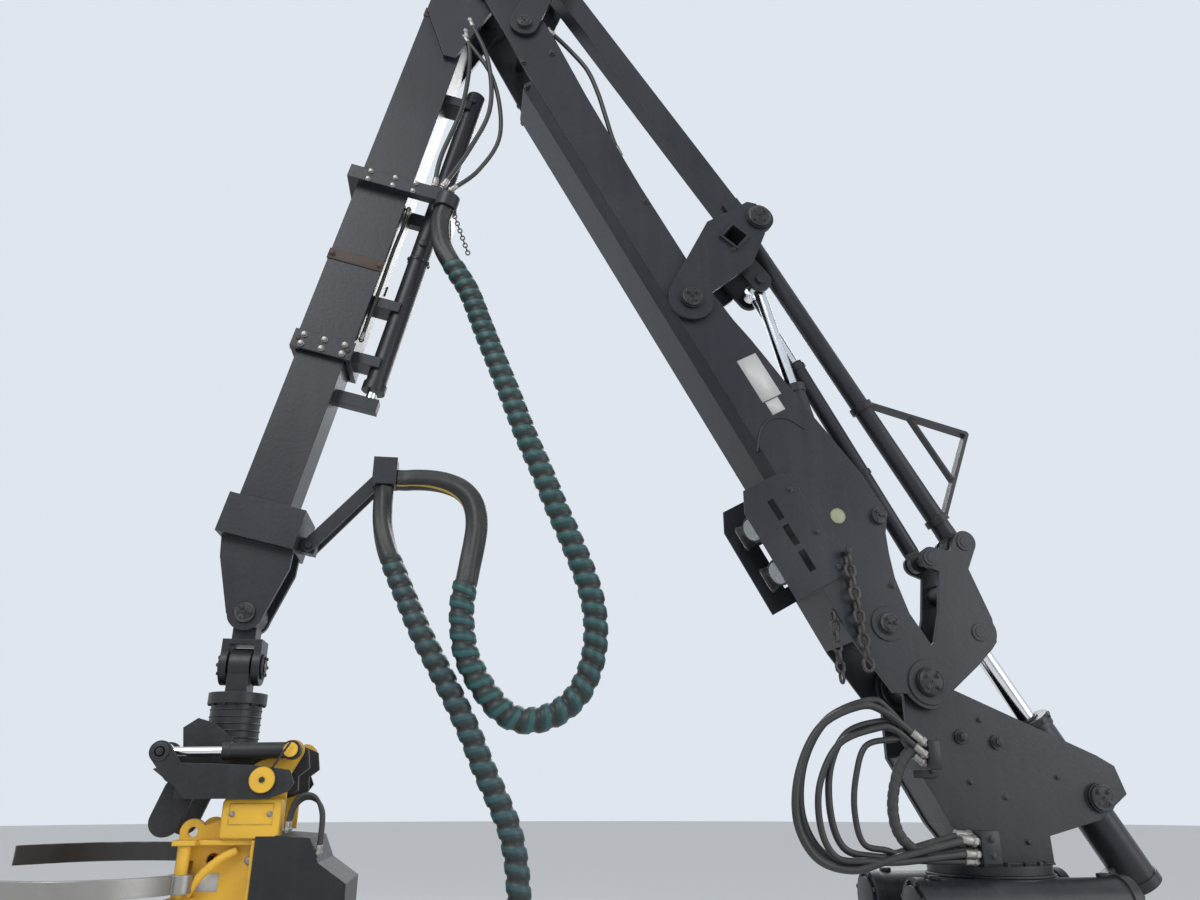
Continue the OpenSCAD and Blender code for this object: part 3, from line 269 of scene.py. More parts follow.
def wrap_material(name, strip, wrap_from, wrap_to):
    """Teal strip with painted highlight and shade, wound over black hoses: the pattern follows the bundle's
    own UV map.
    """
    made, tree, main, add = shader(name)
    along = add("ShaderNodeUVMap", uv_map="along").outputs[0]
    parts = add("ShaderNodeSeparateXYZ", Vector=along)
    around, turns = parts.outputs["X"], parts.outputs["Y"]
    phase = worked(tree, "FRACT", worked(tree, "ADD", around, turns))
    strip_with_painted_shading = add("ShaderNodeValToRGB")
    tree.links.new(phase, strip_with_painted_shading.inputs[0])
    strip_with_painted_shading.color_ramp.interpolation = "LINEAR"
    stops = strip_with_painted_shading.color_ramp.elements
    stops[0].position, stops[0].color = 0.0, (0.008, 0.009, 0.010, 1)
    stops[1].position, stops[1].color = 1.0, (0.006, 0.007, 0.008, 1)
    # Across its width the strip is painted lighter in one band and darker towards its trailing edge: painted
    # highlight and shade.
    for position, colour in ((0.05, strip), (0.30, [c * 1.35 for c in strip]),
                             (0.42, [c * 0.45 for c in strip]), (0.70, [c * 0.30 for c in strip]),
                             (0.76, (0.006, 0.007, 0.008))):
        stop = stops.new(position)
        stop.color = (*colour, 1)
    guarded = worked(tree, "MULTIPLY", worked(tree, "GREATER_THAN", turns, wrap_from / wrap_pitch),
                     worked(tree, "LESS_THAN", turns, wrap_to / wrap_pitch))
    # One hose of the bundle has a yellow lay line
    line = worked(tree, "COMPARE", around, 0.32, 0.018)
    rubber = mixed(tree, line, (0.014, 0.014, 0.015, 1), (0.42, 0.30, 0.04, 1))
    colour = mixed(tree, guarded, rubber, strip_with_painted_shading.outputs[0])
    place_grime(tree, main, colour, (0.16, 0.15, 0.13), 0.35, 90, 0.48, 0.0012)
    return made


stick_line, stick_at = smooth_route(stick_route, bundle_step)
stick_full = float(stick_at[-1])
stick_wrap = (0.33, stick_full - 0.78)
stick_bundle = swept_hose("hose_bundle_to_arm", stick_line, stick_at, bundle_sides,
                          bundle_radius(0.050, *stick_wrap), wrap_pitch)
stick_bundle.data.materials.append(wrap_material("teal_spiral_guard", (0.008, 0.060, 0.062), *stick_wrap))
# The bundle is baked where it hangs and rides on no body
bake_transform(stick_bundle)
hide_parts("hose_bundle_stick")

head_line, head_at = smooth_route(head_route, bundle_step)
head_full = float(head_at[-1])
head_wrap = (0.36, head_full - 0.10)
head_bundle = swept_hose("hose_bundle_to_head", head_line, head_at, bundle_sides,
                         bundle_radius(0.045, *head_wrap), wrap_pitch)
head_bundle.data.materials.append(wrap_material("dark_spiral_guard", (0.010, 0.045, 0.052), *head_wrap))
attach(head_bundle, "telescope")
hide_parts("hose_bundle_head")

# Studio
# A pale floor 1.14 m below the frame's origin, a pale sky behind it and three large
# soft lamps. The sky seen by the camera, in reflections and through glass is brighter
# than the one that lights.
sky = bpy.data.worlds.new("studio")
sky.use_nodes = True
bpy.context.scene.world = sky
light_tree = sky.node_tree
light_tree.nodes.clear()
sky_node = adder(light_tree)
soft = sky_node("ShaderNodeBackground", Color=(0.93, 0.96, 1.0, 1), Strength=0.55)
seen_sky = sky_node("ShaderNodeBackground", Color=(0.74, 0.79, 0.86, 1), Strength=1.0)
ray = sky_node("ShaderNodeLightPath").outputs
seen_by = worked(light_tree, "MAXIMUM", ray["Is Camera Ray"], ray["Is Glossy Ray"])
seen_through = worked(light_tree, "MAXIMUM", seen_by, ray["Is Transmission Ray"])
either = sky_node("ShaderNodeMixShader")
light_tree.links.new(seen_through, either.inputs[0])
light_tree.links.new(soft.outputs[0], either.inputs[1])
light_tree.links.new(seen_sky.outputs[0], either.inputs[2])
world_out = sky_node("ShaderNodeOutputWorld")
light_tree.links.new(either.outputs[0], world_out.inputs[0])

floor_z = -1.14
floor_bm = bmesh.new()
bmesh.ops.create_circle(floor_bm, cap_ends=True, segments=96, radius=70.0)
bmesh.ops.translate(floor_bm, verts=floor_bm.verts, vec=(1.0, 0.0, floor_z))
floor_mesh = bpy.data.meshes.new("floor")
floor_bm.to_mesh(floor_mesh)
floor_bm.free()
floor = bpy.data.objects.new("floor", floor_mesh)
bpy.context.scene.collection.objects.link(floor)
pale, _, pale_main, _ = shader("pale_floor")
pale_main.inputs["Base Color"].default_value = (0.86, 0.87, 0.88, 1)
pale_main.inputs["Roughness"].default_value = 0.9
floor_mesh.materials.append(pale)


def soft_lamp(name, place, target, size, power):
    """A large square lamp that faces the target."""
    lamp = bpy.data.lights.new(name, "AREA")
    lamp.size = size
    lamp.energy = power
    box = bpy.data.objects.new(name, lamp)
    box.location = place
    box.rotation_euler = (Vector(target) - Vector(place)).to_track_quat("-Z", "Y").to_euler()
    bpy.context.scene.collection.objects.link(box)


soft_lamp("key_lamp", (6.5, 7.5, 8.5), (1.6, 0.0, 2.2), 5.0, 560)
soft_lamp("fill_lamp", (-5.5, 5.5, 3.0), (1.2, 0.0, 2.0), 5.0, 260)
soft_lamp("rim_lamp", (-2.0, -8.0, 8.0), (1.6, 0.0, 2.4), 5.0, 480)
bpy.context.scene.view_settings.view_transform = "Standard"

# Slewing base
# A base with a round bolting flange, a bearing housing and two rack cylinders that turn
# the pillar. It is painted satin charcoal, as is all of the crane down to the tip link.
# A lighter grey on the edges of the dark paints: partly worn paint, partly painted highlight along the
# edges.
edge_wear_and_highlight_grey = (0.10, 0.097, 0.095)
road_dust = (0.155, 0.145, 0.13)


def edge_wear_and_highlight_group():
    """Finds the outer edges of a piece, for worn paint and painted edge highlight, and rounds them a little.
    """
    group = bpy.data.node_groups.new("edge_wear_and_highlight", "ShaderNodeTree")
    for label, value in (("Width", 0.006), ("Amount", 0.5)):
        socket = group.interface.new_socket(label, in_out="INPUT", socket_type="NodeSocketFloat")
        socket.default_value = value
    group.interface.new_socket("Mask", in_out="OUTPUT", socket_type="NodeSocketFloat")
    group.interface.new_socket("Normal", in_out="OUTPUT", socket_type="NodeSocketVector")
    add, link = adder(group), group.links.new
    given, out = add("NodeGroupInput"), add("NodeGroupOutput")
    rounded = add("ShaderNodeBevel", samples=4, Radius=given.outputs["Width"]).outputs[0]
    match = add("ShaderNodeVectorMath", operation="DOT_PRODUCT")
    link(rounded, match.inputs[0])
    link(add("ShaderNodeNewGeometry").outputs["Normal"], match.inputs[1])
    edge = ranged(group, match.outputs["Value"], 0.995, 0.90)
    place = add("ShaderNodeTexCoord").outputs["Object"]
    scuff = add("ShaderNodeTexNoise", Vector=place, Scale=22.0, Detail=6.0).outputs["Fac"]
    wear_and_highlight = worked(group, "MULTIPLY", edge, ranged(group, scuff, 0.42, 0.62))
    link(worked(group, "MULTIPLY", wear_and_highlight, given.outputs["Amount"], clamp=True), out.inputs["Mask"])
    link(rounded, out.inputs["Normal"])
    return group


edge_wear_and_highlight = edge_wear_and_highlight_group()


def paint(name, colour, bare, roughness, dust, wear, dust_colour=road_dust, metal=0.0, bump=0.0006,
          grain=55, coat=0.0, width=0.005):
    """Paint or bare metal with worn edges under grime; a lighter edge colour on dark paint is also a painted
    highlight. One plain number says how metallic it is.
    """
    made, tree, main, add = shader(name)
    wear_and_highlight = add("ShaderNodeGroup", node_tree=edge_wear_and_highlight, Width=width, Amount=wear)
    base = mixed(tree, wear_and_highlight.outputs["Mask"], (*colour, 1), (*bare, 1))
    place_grime(tree, main, base, dust_colour, dust, grain, roughness, bump, wear_and_highlight.outputs["Normal"])
    main.inputs["Metallic"].default_value = metal
    main.inputs["Specular IOR Level"].default_value = 0.5 if metal else 0.34
    main.inputs["Coat Weight"].default_value = coat
    main.inputs["Coat Roughness"].default_value = 0.25
    return made


def dress(material, *names):
    """Gives a finish to CAD nodes through their material slots."""
    for name in names:
        node = nodes_of[name]
        if not node.material_slots:
            node.data.materials.append(material)
        for place in node.material_slots:
            place.material = material


charcoal = paint("charcoal_paint", (0.0135, 0.0150, 0.0215), edge_wear_and_highlight_grey, 0.40, 0.28, 0.50, coat=0.04)
zinc = paint("zinc_fasteners", (0.30, 0.29, 0.27), (0.45, 0.44, 0.42), 0.42, 0.35, 0.4, metal=0.85,
             grain=120)
dark_bolts = paint("painted_fasteners", (0.018, 0.019, 0.025), (0.20, 0.19, 0.18), 0.45, 0.35, 0.8,
                   grain=140, width=0.003)
dress(charcoal, "slew_base")


def facing(centre, axis):
    """The place and turn of a small part whose own z points along axis."""
    return Matrix.Translation(centre) @ Vector(axis).to_track_quat("Z", "Y").to_matrix().to_4x4()


def edges_of(verts):
    """The edges that meet these points, each once."""
    return list(dict.fromkeys(e for v in verts for e in v.link_edges))


def add_disc(bm, centre, axis, radius, height, chamfer=0.002, segments=32, top=None):
    """A turned disc that stands on centre, with both rims chamfered. A top radius makes it a cone."""
    made = bmesh.ops.create_cone(bm, cap_ends=True, segments=segments, radius1=radius,
                                 radius2=radius if top is None else top, depth=height,
                                 matrix=facing(centre, axis) @ Matrix.Translation((0, 0, height / 2)))
    if chamfer:
        rims = [e for e in edges_of(made["verts"]) if any(len(f.verts) > 4 for f in e.link_faces)]
        bmesh.ops.bevel(bm, geom=rims, offset=chamfer, offset_type="OFFSET", affect="EDGES",
                        segments=2, profile=0.5, material=-1)


def add_block(bm, centre, size, turn=None, chamfer=0.003):
    """A block with broken edges."""
    spot = Matrix.Translation(centre) @ (turn or Matrix.Identity(4)) @ Matrix.Diagonal((*size, 1))
    made = bmesh.ops.create_cube(bm, size=1.0, matrix=spot)
    bmesh.ops.bevel(bm, geom=edges_of(made["verts"]), offset=chamfer, offset_type="OFFSET",
                    affect="EDGES", segments=2, profile=0.5, material=-1)


def add_bolt(bm, centre, axis, across):
    """A washer and a hexagon head."""
    out = Vector(axis).normalized()
    add_disc(bm, centre, out, across * 0.62, across * 0.14, across * 0.03, 20)
    add_disc(bm, Vector(centre) + out * across * 0.14, out, across * 0.5, across * 0.42, across * 0.06, 6)


def add_ring(bm, centre, axis, radius, thick, segments=40):
    """A round ring, spun from a small circle."""
    section = Matrix.Translation((radius, 0, 0)) @ Matrix.Rotation(math.pi / 2, 4, "X")
    made = bmesh.ops.create_circle(bm, segments=10, radius=thick, matrix=section)
    before = set(bm.verts) - set(made["verts"])
    bmesh.ops.spin(bm, geom=made["verts"] + edges_of(made["verts"]), cent=(0, 0, 0), axis=(0, 0, 1),
                   angle=2 * math.pi, steps=segments, use_merge=True)
    bmesh.ops.transform(bm, matrix=facing(centre, axis), verts=[v for v in bm.verts if v not in before])


def add_piece(bm, name, body, material):
    """Turns a finished bmesh into a piece that rides on its body."""
    bmesh.ops.remove_doubles(bm, verts=bm.verts, dist=0.00002)
    bmesh.ops.recalc_face_normals(bm, faces=bm.faces)
    mesh = bpy.data.meshes.new(name)
    bm.to_mesh(mesh)
    bm.free()
    for face in mesh.polygons:
        face.use_smooth = True
    mesh.set_sharp_from_angle(angle=math.radians(35))
    mesh.materials.append(material)
    piece = bpy.data.objects.new(name, mesh)
    bpy.context.scene.collection.objects.link(piece)
    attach(piece, body)


rack_end = 0.450
rack_side = 0.215
rack_level = 0.244
rack_cover = 0.080
rack_bolt_circle = 0.092
rack_bolts = 8
port_x = 0.360
port_level = rack_level + 0.098
seal_level = 0.346
seal_radius = 0.250
bm = bmesh.new()
for s in (-1, 1):
    for e in (-1, 1):
        add_disc(bm, (e * rack_end, s * rack_side, rack_level), (e, 0, 0), rack_cover, 0.014, 0.004, 40)
        for k in range(rack_bolts):
            a = 2 * math.pi * (k + 0.5) / rack_bolts
            beside = s * (rack_side + rack_bolt_circle * math.cos(a))
            level = rack_level + rack_bolt_circle * math.sin(a)
            add_bolt(bm, (e * rack_end, beside, level), (e, 0, 0), 0.018)
    for x in (-port_x, port_x):
        add_disc(bm, (x, s * rack_side, port_level), (0, 0, 1), 0.024, 0.016, 0.002, 6)
add_ring(bm, (0, 0, seal_level), (0, 0, 1), seal_radius, 0.006, 72)
add_piece(bm, "slew_rack_covers", "root", charcoal)

# Pillar
# Two profiled steel plates on a bearing ring, with two plates between them at the front.
# The bosses stand on the outside, and two small ones on each plate carry large bolts.
dress(charcoal, "pillar")
foot = Vector((0.245, 0, 1.100))
trunnion = Vector((-0.478, 0, 0.640))
pillar_side = 0.122
weld_step = 0.006
both_sides = ((-1, "right"), (1, "left"))


def weld(name, points, size, body):
    """A rippled weld bead along a line of points."""
    if len(points) > 2:
        line, at = smooth_route(points, weld_step)
    else:
        length = (Vector(points[1]) - Vector(points[0])).length
        line = np.linspace(points[0], points[1], max(3, int(length / weld_step)))
        at = np.concatenate([[0], np.cumsum(np.linalg.norm(np.diff(line, axis=0), axis=1))])
    bead = swept_hose(name, line, at, 8, lambda a, s: size * (1 + 0.22 * math.sin(s * 620)))
    bead.data.materials.append(charcoal)
    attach(bead, body)


def cap_pin(bm, centre, y, radius, bolts, size=0.020, sides=(-1, 1)):
    """A retaining cap on each end of a pin, with its bolts and a grease nipple."""
    for s in sides:
        middle = Vector((centre[0], s * y, centre[2]))
        add_disc(bm, middle, (0, s, 0), radius, 0.010, 0.003, 40)
        add_ring(bm, middle + Vector((0, s * 0.010, 0)), (0, s, 0), radius * 0.86, 0.0025)
        for k in range(bolts):
            a = 2 * math.pi * (k + 0.5) / bolts
            out = radius * 0.58
            spot = middle + Vector((out * math.cos(a), s * 0.010, out * math.sin(a)))
            add_bolt(bm, spot, (0, s, 0), size)
        add_disc(bm, middle + Vector((0, s * 0.009, 0)), (0, s, 0), 0.006, 0.012, 0.001, 12, 0.004)


bm = bmesh.new()
cap_pin(bm, trunnion, 0.141, 0.054, 4, 0.018)
for x, z in ((foot.x - 0.130, 0.880), (foot.x - 0.290, 0.860)):
    for s in (-1, 1):
        add_bolt(bm, (x, s * 0.133, z), (0, s, 0), 0.036)
for x, z in ((0.10, 0.70), (-0.05, 0.64), (0.02, 0.95), (-0.30, 0.72), (-0.12, 0.47), (0.04, 0.47)):
    for s in (-1, 1):
        add_bolt(bm, (x, s * pillar_side, z), (0, s, 0), 0.019)
add_piece(bm, "pillar_fasteners", "pillar", dark_bolts)
for s, side in both_sides:
    beside = s * (pillar_side + 0.0015)
    weld("pillar_weld_" + side, [(-0.222, beside, 0.388), (0.088, beside, 0.388)], 0.005, "pillar")

# Hoses at the foot of the crane
# Rubber pressure hoses leave a block on the pillar's front edge, hang in loops in front of
# it and go back to a second block at its foot. A thicker one wears a sleeve.


def dusty_rubber(name, colour, dust, grain, roughness, bump):
    """Rubber or woven sleeve under pale dust."""
    made, tree, main = shader(name)[:3]
    place_grime(tree, main, (*colour, 1), (0.20, 0.185, 0.16), dust, grain, roughness, bump)
    return made


rubber_black = dusty_rubber("hose_rubber_black", (0.016, 0.016, 0.017), 0.40, 160, 0.46, 0.0005)


def add_fitting(bm, centre, axis, hose):
    """A crimped ferrule and a hexagon nut at the end of a hose."""
    out = Vector(axis).normalized()
    at = Vector(centre)
    add_disc(bm, at, out, hose * 0.62, hose * 1.5, hose * 0.06, 20)
    add_disc(bm, at + out * hose * 1.5, out, hose * 0.78, hose * 0.6, hose * 0.06, 6)
    add_disc(bm, at + out * hose * 2.1, out, hose * 0.5, hose * 0.4, hose * 0.04, 20)


hose_step = 0.008
hose_sides = 14


def rubber_hose(name, points, thick, body, ends=True, material=None, wrapped=0.0):
    """A free pressure hose. With ends, it gets a fitting at each."""
    line, at = smooth_route(points, hose_step)

    def radius_at(angle, s):
        """A wrapped hose has a strip wound around it with this pitch."""
        if not wrapped:
            return thick / 2
        phase = (angle / (2 * math.pi) + s / wrapped) % 1.0
        return thick / 2 * (1.0 if phase < 0.72 else 0.90)

    hose = swept_hose(name, line, at, hose_sides, radius_at, wrapped or 1.0)
    hose.data.materials.append(material or rubber_black)
    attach(hose, body)
    if ends:
        for mark, last, inner in (("a", line[0], line[3]), ("b", line[-1], line[-4])):
            inward = Vector(inner) - Vector(last)
            bm = bmesh.new()
            add_fitting(bm, Vector(last) + inward.normalized() * thick * 2.4, -inward, thick)
            add_piece(bm, name + "_fitting_" + mark, body, zinc)


bm = bmesh.new()
add_block(bm, (0.335, 0.2000, 0.800), (0.050, 0.210, 0.110), chamfer=0.005)
add_block(bm, (0.150, 0.2135, 0.460), (0.080, 0.183, 0.120), chamfer=0.005)
add_block(bm, (0.300, 0.1280, 0.790), (0.100, 0.014, 0.150), chamfer=0.003)
for place in ((0.272, 0.135, 0.840), (0.272, 0.135, 0.745), (0.150, 0.305, 0.490), (0.150, 0.305, 0.430)):
    add_bolt(bm, place, (0, 1, 0), 0.022)
add_piece(bm, "hose_bulkheads", "pillar", charcoal)
# Each row: thickness, side, level where it leaves, then x and level of five points on its way
foot_loops = [
    (0.032, 0.247, 0.845, 0.560, 1.010, 0.860, 0.780, 0.890, 0.590, 0.690, 0.400, 0.440, 0.495),
    (0.030, 0.283, 0.840, 0.620, 0.985, 0.900, 0.740, 0.925, 0.560, 0.720, 0.385, 0.470, 0.480),
    (0.028, 0.247, 0.800, 0.520, 0.930, 0.760, 0.750, 0.775, 0.580, 0.620, 0.430, 0.420, 0.455),
    (0.026, 0.283, 0.795, 0.560, 0.900, 0.820, 0.690, 0.830, 0.530, 0.650, 0.415, 0.445, 0.435),
    (0.024, 0.265, 0.765, 0.480, 0.860, 0.660, 0.720, 0.680, 0.590, 0.560, 0.450, 0.410, 0.410),
]
leave_x = 0.360
return_x = 0.190
for i, (thick, y, z0, x1, z1, x2, z2, x3, z3, x4, z4, x5, z5) in enumerate(foot_loops):
    aside = y + 0.010 * math.sin(2.3 * i) ** 2
    halfway = (y + aside) / 2
    rubber_hose("foot_hose_%d" % (i + 1), [
        (leave_x, y, z0), (0.415, y, z0 + 0.045),
        ((leave_x + x1) / 2 + 0.03, halfway, (z0 + z1) / 2 + 0.05), (x1, aside, z1),
        ((x1 + x2) / 2 + 0.035, aside, (z1 + z2) / 2 + 0.045), (x2, aside, z2), (x3, aside, z3),
        ((x3 + x4) / 2 + 0.035, aside, (z3 + z4) / 2 - 0.045), (x4, aside, z4),
        ((x4 + x5) / 2 - 0.03, halfway, (z4 + z5) / 2 - 0.014),
        (0.270, y, z5), (return_x, y, z5)], thick, "pillar")
sleeve = dusty_rubber("hose_sleeve", (0.020, 0.021, 0.023), 0.55, 140, 0.62, 0.0010)
rubber_hose("foot_sleeved_hose", [
    (0.360, 0.262, 0.832), (0.410, 0.262, 0.822), (0.462, 0.262, 0.770), (0.500, 0.262, 0.690),
    (0.520, 0.262, 0.600), (0.508, 0.262, 0.515), (0.455, 0.262, 0.455), (0.380, 0.262, 0.432),
    (0.290, 0.260, 0.438), (0.190, 0.258, 0.446)], 0.044, "pillar", ends=False,
    material=sleeve, wrapped=0.034)

# Rocker and lift cylinder
# The rocker's two plates turn on the foot pin. The lift cylinder hangs in the pillar on
# a trunnion, and its hard chromed rod pushes the rocker.
lift_eye = Vector((-0.066, 0, 1.331))
chrome = paint("hard_chrome", (0.70, 0.71, 0.73), (0.70, 0.71, 0.73), 0.14, 0.05, 0.0, metal=1.0,
               bump=0.00005, grain=30)
dress(charcoal, "rocker", "lift_barrel")
dress(chrome, "lift_rod")


def add_gland(bm, place, axis, radius, rod):
    """A screwed gland with blocks for a spanner and a wiper ring around the rod."""
    out = Vector(axis).normalized()
    at = Vector(place)
    add_disc(bm, at - out * 0.030, out, radius + 0.003, 0.024, 0.003, 40)
    turn = facing(at - out * 0.018, out)
    for k in range(10):
        a = 2 * math.pi * k / 10
        spot = turn @ Matrix.Rotation(a, 4, "Z") @ Vector((radius + 0.003, 0, 0))
        lie = (turn @ Matrix.Rotation(a, 4, "Z")).to_3x3().to_4x4()
        add_block(bm, spot, (0.012, 0.012, 0.014), lie, 0.002)
    add_ring(bm, at + out * 0.002, out, rod + 0.006, 0.005)


bm = bmesh.new()
lift_way = (lift_eye - trunnion).normalized()
add_gland(bm, trunnion + lift_way * 0.376, lift_way, 0.0895, 0.0375)
cap_pin(bm, trunnion, 0.1225, 0.020, 0, sides=(1,))
add_piece(bm, "lift_gland", "lift_barrel", charcoal)
bm = bmesh.new()
cap_pin(bm, foot, 0.180, 0.058, 4, 0.020)
add_piece(bm, "foot_pin_caps", "rocker", dark_bolts)

# Boom and its lamps
# A box boom welded from four plates, with a doubler at the foot, two round work lamps a
# side behind a slotted guard, blank plates where labels are and two chains.
dress(charcoal, "boom", "lamp_guard", "balance_barrel", "swing_barrel")
dress(chrome, "balance_rod", "swing_rod")
boom_lean = 61.0
boom_side = 0.160
guard_side = 0.168
boom_turn = Matrix.Rotation(math.radians(-boom_lean), 4, "Y")
top_pin = (0.391, 0, 1.830)
swing_pin = (0.403, 0, 1.344)
stick_pin = (2.2545, 0, 4.7253)


def on_boom(along, across, y):
    """A place given along the boom from its foot pin and across it."""
    return foot + boom_turn.to_3x3() @ Vector((along, 0, across)) + Vector((0, y, 0))


blank_white = paint("blank_label_white", (0.50, 0.51, 0.50), (0.5, 0.5, 0.5), 0.35, 0.35, 0.2)
blank_badge = paint("blank_badge", (0.30, 0.32, 0.21), (0.4, 0.4, 0.3), 0.45, 0.5, 0.3)
label_thick = 0.0012
long_label = (0.235, label_thick, 0.108)
short_label = (0.070, label_thick, 0.072)
badge_radius = 0.036
bm = bmesh.new()
add_block(bm, on_boom(1.535, 0.094, boom_side + 0.0004), long_label, boom_turn, 0.0004)
add_block(bm, on_boom(1.378, 0.086, boom_side + 0.0004), short_label, boom_turn, 0.0004)
add_piece(bm, "blank_boom_labels", "boom", blank_white)
bm = bmesh.new()
add_disc(bm, on_boom(0.796, 0.055, boom_side), (0, 1, 0), badge_radius, 0.002, 0.0008, 40)
add_ring(bm, on_boom(0.796, 0.055, boom_side + 0.002), (0, 1, 0), badge_radius - 0.003, 0.0012, 48)
add_piece(bm, "blank_round_badge", "boom", blank_badge)
bm = bmesh.new()
for s in (-1, 1):
    for along, across in ((0.42, 0.100), (0.42, -0.090), (2.609, 0.090), (3.620, 0.090), (3.620, -0.080)):
        add_bolt(bm, on_boom(along, across, s * boom_side), (0, s, 0), 0.026)
    for along, across in ((0.600, -0.080), (0.780, -0.080), (1.000, -0.080)):
        add_bolt(bm, on_boom(along, across, s * guard_side), (0, s, 0), 0.022)
for pin, y, radius in ((top_pin, 0.168, 0.036), (swing_pin, 0.174, 0.043), (stick_pin, 0.175, 0.050)):
    cap_pin(bm, pin, y, radius, 3, 0.018)
add_piece(bm, "boom_fasteners", "boom", dark_bolts)
doubler_edge = ((1.22, -0.120), (1.30, -0.05), (1.33, 0.02), (1.30, 0.10), (1.22, 0.150))
for s, side in both_sides:
    bead = [on_boom(along, across, s * (boom_side + 0.0005)) for along, across in doubler_edge]
    weld("boom_doubler_weld_" + side, bead, 0.005, "boom")

lamp_black = paint("lamp_housing", (0.018, 0.018, 0.020), (0.2, 0.2, 0.2), 0.5, 0.3, 0.2)
lens_glass, _, lens_main, _ = shader("lamp_lens")
lens_main.inputs["Base Color"].default_value = (0.62, 0.66, 0.68, 1)
lens_main.inputs["Roughness"].default_value = 0.08
lens_main.inputs["Transmission Weight"].default_value = 0.75
lens_main.inputs["Coat Weight"].default_value = 0.6
reflector = paint("lamp_reflector", (0.75, 0.76, 0.78), (0.75, 0.76, 0.78), 0.18, 0.05, 0.0, metal=1.0)
down = boom_turn.to_3x3() @ Vector((0, 0, -1))
lamp_across = -0.300
lens_radius = 0.052
for i, along in enumerate((0.927, 0.707)):
    for s, side in reversed(both_sides):
        place = on_boom(along, lamp_across, s * 0.085)
        look = (down * 0.9 + Vector((0, s * 0.35, 0))).normalized()
        bm = bmesh.new()
        add_disc(bm, place - look * 0.060, look, 0.045, 0.050, 0.006, 36, 0.060)
        add_disc(bm, place - look * 0.010, look, 0.062, 0.012, 0.003, 48)
        for k in range(7):
            add_disc(bm, place - look * (0.066 + 0.006 * k), look, 0.040 - 0.002 * k, 0.003, 0.0006, 32)
        add_ring(bm, place + look * 0.003, look, 0.056, 0.004, 48)
        add_piece(bm, "lamp_housing_%s_%d" % (side, i + 1), "boom", lamp_black)
        bm = bmesh.new()
        add_disc(bm, place + look * 0.002, look, lens_radius, 0.002, 0.0006, 48)
        for k in range(9):
            add_ring(bm, place + look * 0.004, look, 0.012 + 0.0045 * k, 0.0005, 48)
        add_piece(bm, "lamp_reflector_%s_%d" % (side, i + 1), "boom", reflector)
        bm = bmesh.new()
        add_disc(bm, place + look * 0.0055, look, lens_radius, 0.004, 0.0015, 48, lens_radius - 0.002)
        add_piece(bm, "lamp_lens_%s_%d" % (side, i + 1), "boom", lens_glass)


chain_steel = paint("chain_steel", (0.055, 0.050, 0.046), (0.16, 0.15, 0.14), 0.5, 0.5, 0.8, metal=0.5,
                    grain=120)


def chain(name, top, bottom, body, link, thick):
    """Hangs a chain of welded links, each turned a quarter from the last."""
    top, bottom = Vector(top), Vector(bottom)
    way = (bottom - top).normalized()
    pitch = link - 2.6 * thick
    bm = bmesh.new()
    for k in range(int((bottom - top).length / pitch)):
        before = set(bm.verts)
        add_ring(bm, (0, 0, 0), (0, 0, 1), link * 0.30, thick, 20)
        fresh = [v for v in bm.verts if v not in before]
        # The two halves of the ring move apart along x, which makes it a long link
        for v in fresh:
            v.co.x += math.copysign(link * 0.20 - thick, v.co.x) if abs(v.co.x) > 0.0005 else 0.0
        turn = way.to_track_quat("X", "Z").to_matrix().to_4x4() @ Matrix.Rotation(k * math.pi / 2, 4, "X")
        bmesh.ops.transform(bm, matrix=Matrix.Translation(top + way * pitch * (k + 0.5)) @ turn, verts=fresh)
    add_piece(bm, name, body, chain_steel)


chain("boom_chain_side", (0.572, 0.192, 1.641), (0.520, 0.192, 1.110), "boom", 0.070, 0.0075)
chain("boom_chain_front", (0.640, 0.135, 1.396), (0.622, 0.135, 1.085), "boom", 0.060, 0.0065)
chain("stick_chain", (2.392, 0.168, 3.300), (2.290, 0.186, 3.010), "stick", 0.030, 0.0032)
bm = bmesh.new()
add_disc(bm, (0.572, 0.160, 1.650), (0, 1, 0), 0.011, 0.046, 0.002, 20)
add_bolt(bm, (0.572, 0.206, 1.650), (0, 1, 0), 0.030)
add_piece(bm, "chain_bolt", "boom", dark_bolts)

rubber_hose("boom_top_hose", [
    on_boom(3.800, 0.150, 0.136), on_boom(3.731, 0.184, 0.126), on_boom(3.620, 0.222, 0.112),
    on_boom(3.480, 0.236, 0.120), on_boom(3.330, 0.216, 0.120), on_boom(3.180, 0.180, 0.118),
    on_boom(3.040, 0.146, 0.114), on_boom(2.930, 0.132, 0.110)], 0.024, "boom")

# Linkage
# The rods and levers that keep the stick moving with the boom. Bolted caps with grease
# nipples close the pins of the mid lever and the knee rocker.
dress(charcoal, "mid_lever", "lower_rod", "upper_rod", "knee_rocker", "knee_link")
bm = bmesh.new()
lever_pin = (1.225, 0, 2.875)
lever_top = (0.860, 0, 3.370)
cap_pin(bm, lever_pin, 0.200, 0.050, 4, 0.020)
cap_pin(bm, lever_top, 0.200, 0.060, 4, 0.022)
for x, z in ((1.20, 2.87), (1.00, 3.17)):
    add_bolt(bm, (x, 0.186, z), (0, 1, 0), 0.022)
add_piece(bm, "mid_lever_fasteners", "mid_lever", dark_bolts)
bm = bmesh.new()
for knee_pin in ((2.075, 0, 4.475), (1.900, 0, 4.955)):
    cap_pin(bm, knee_pin, 0.192, 0.039, 3, 0.016)
add_piece(bm, "knee_rocker_fasteners", "knee_rocker", dark_bolts)

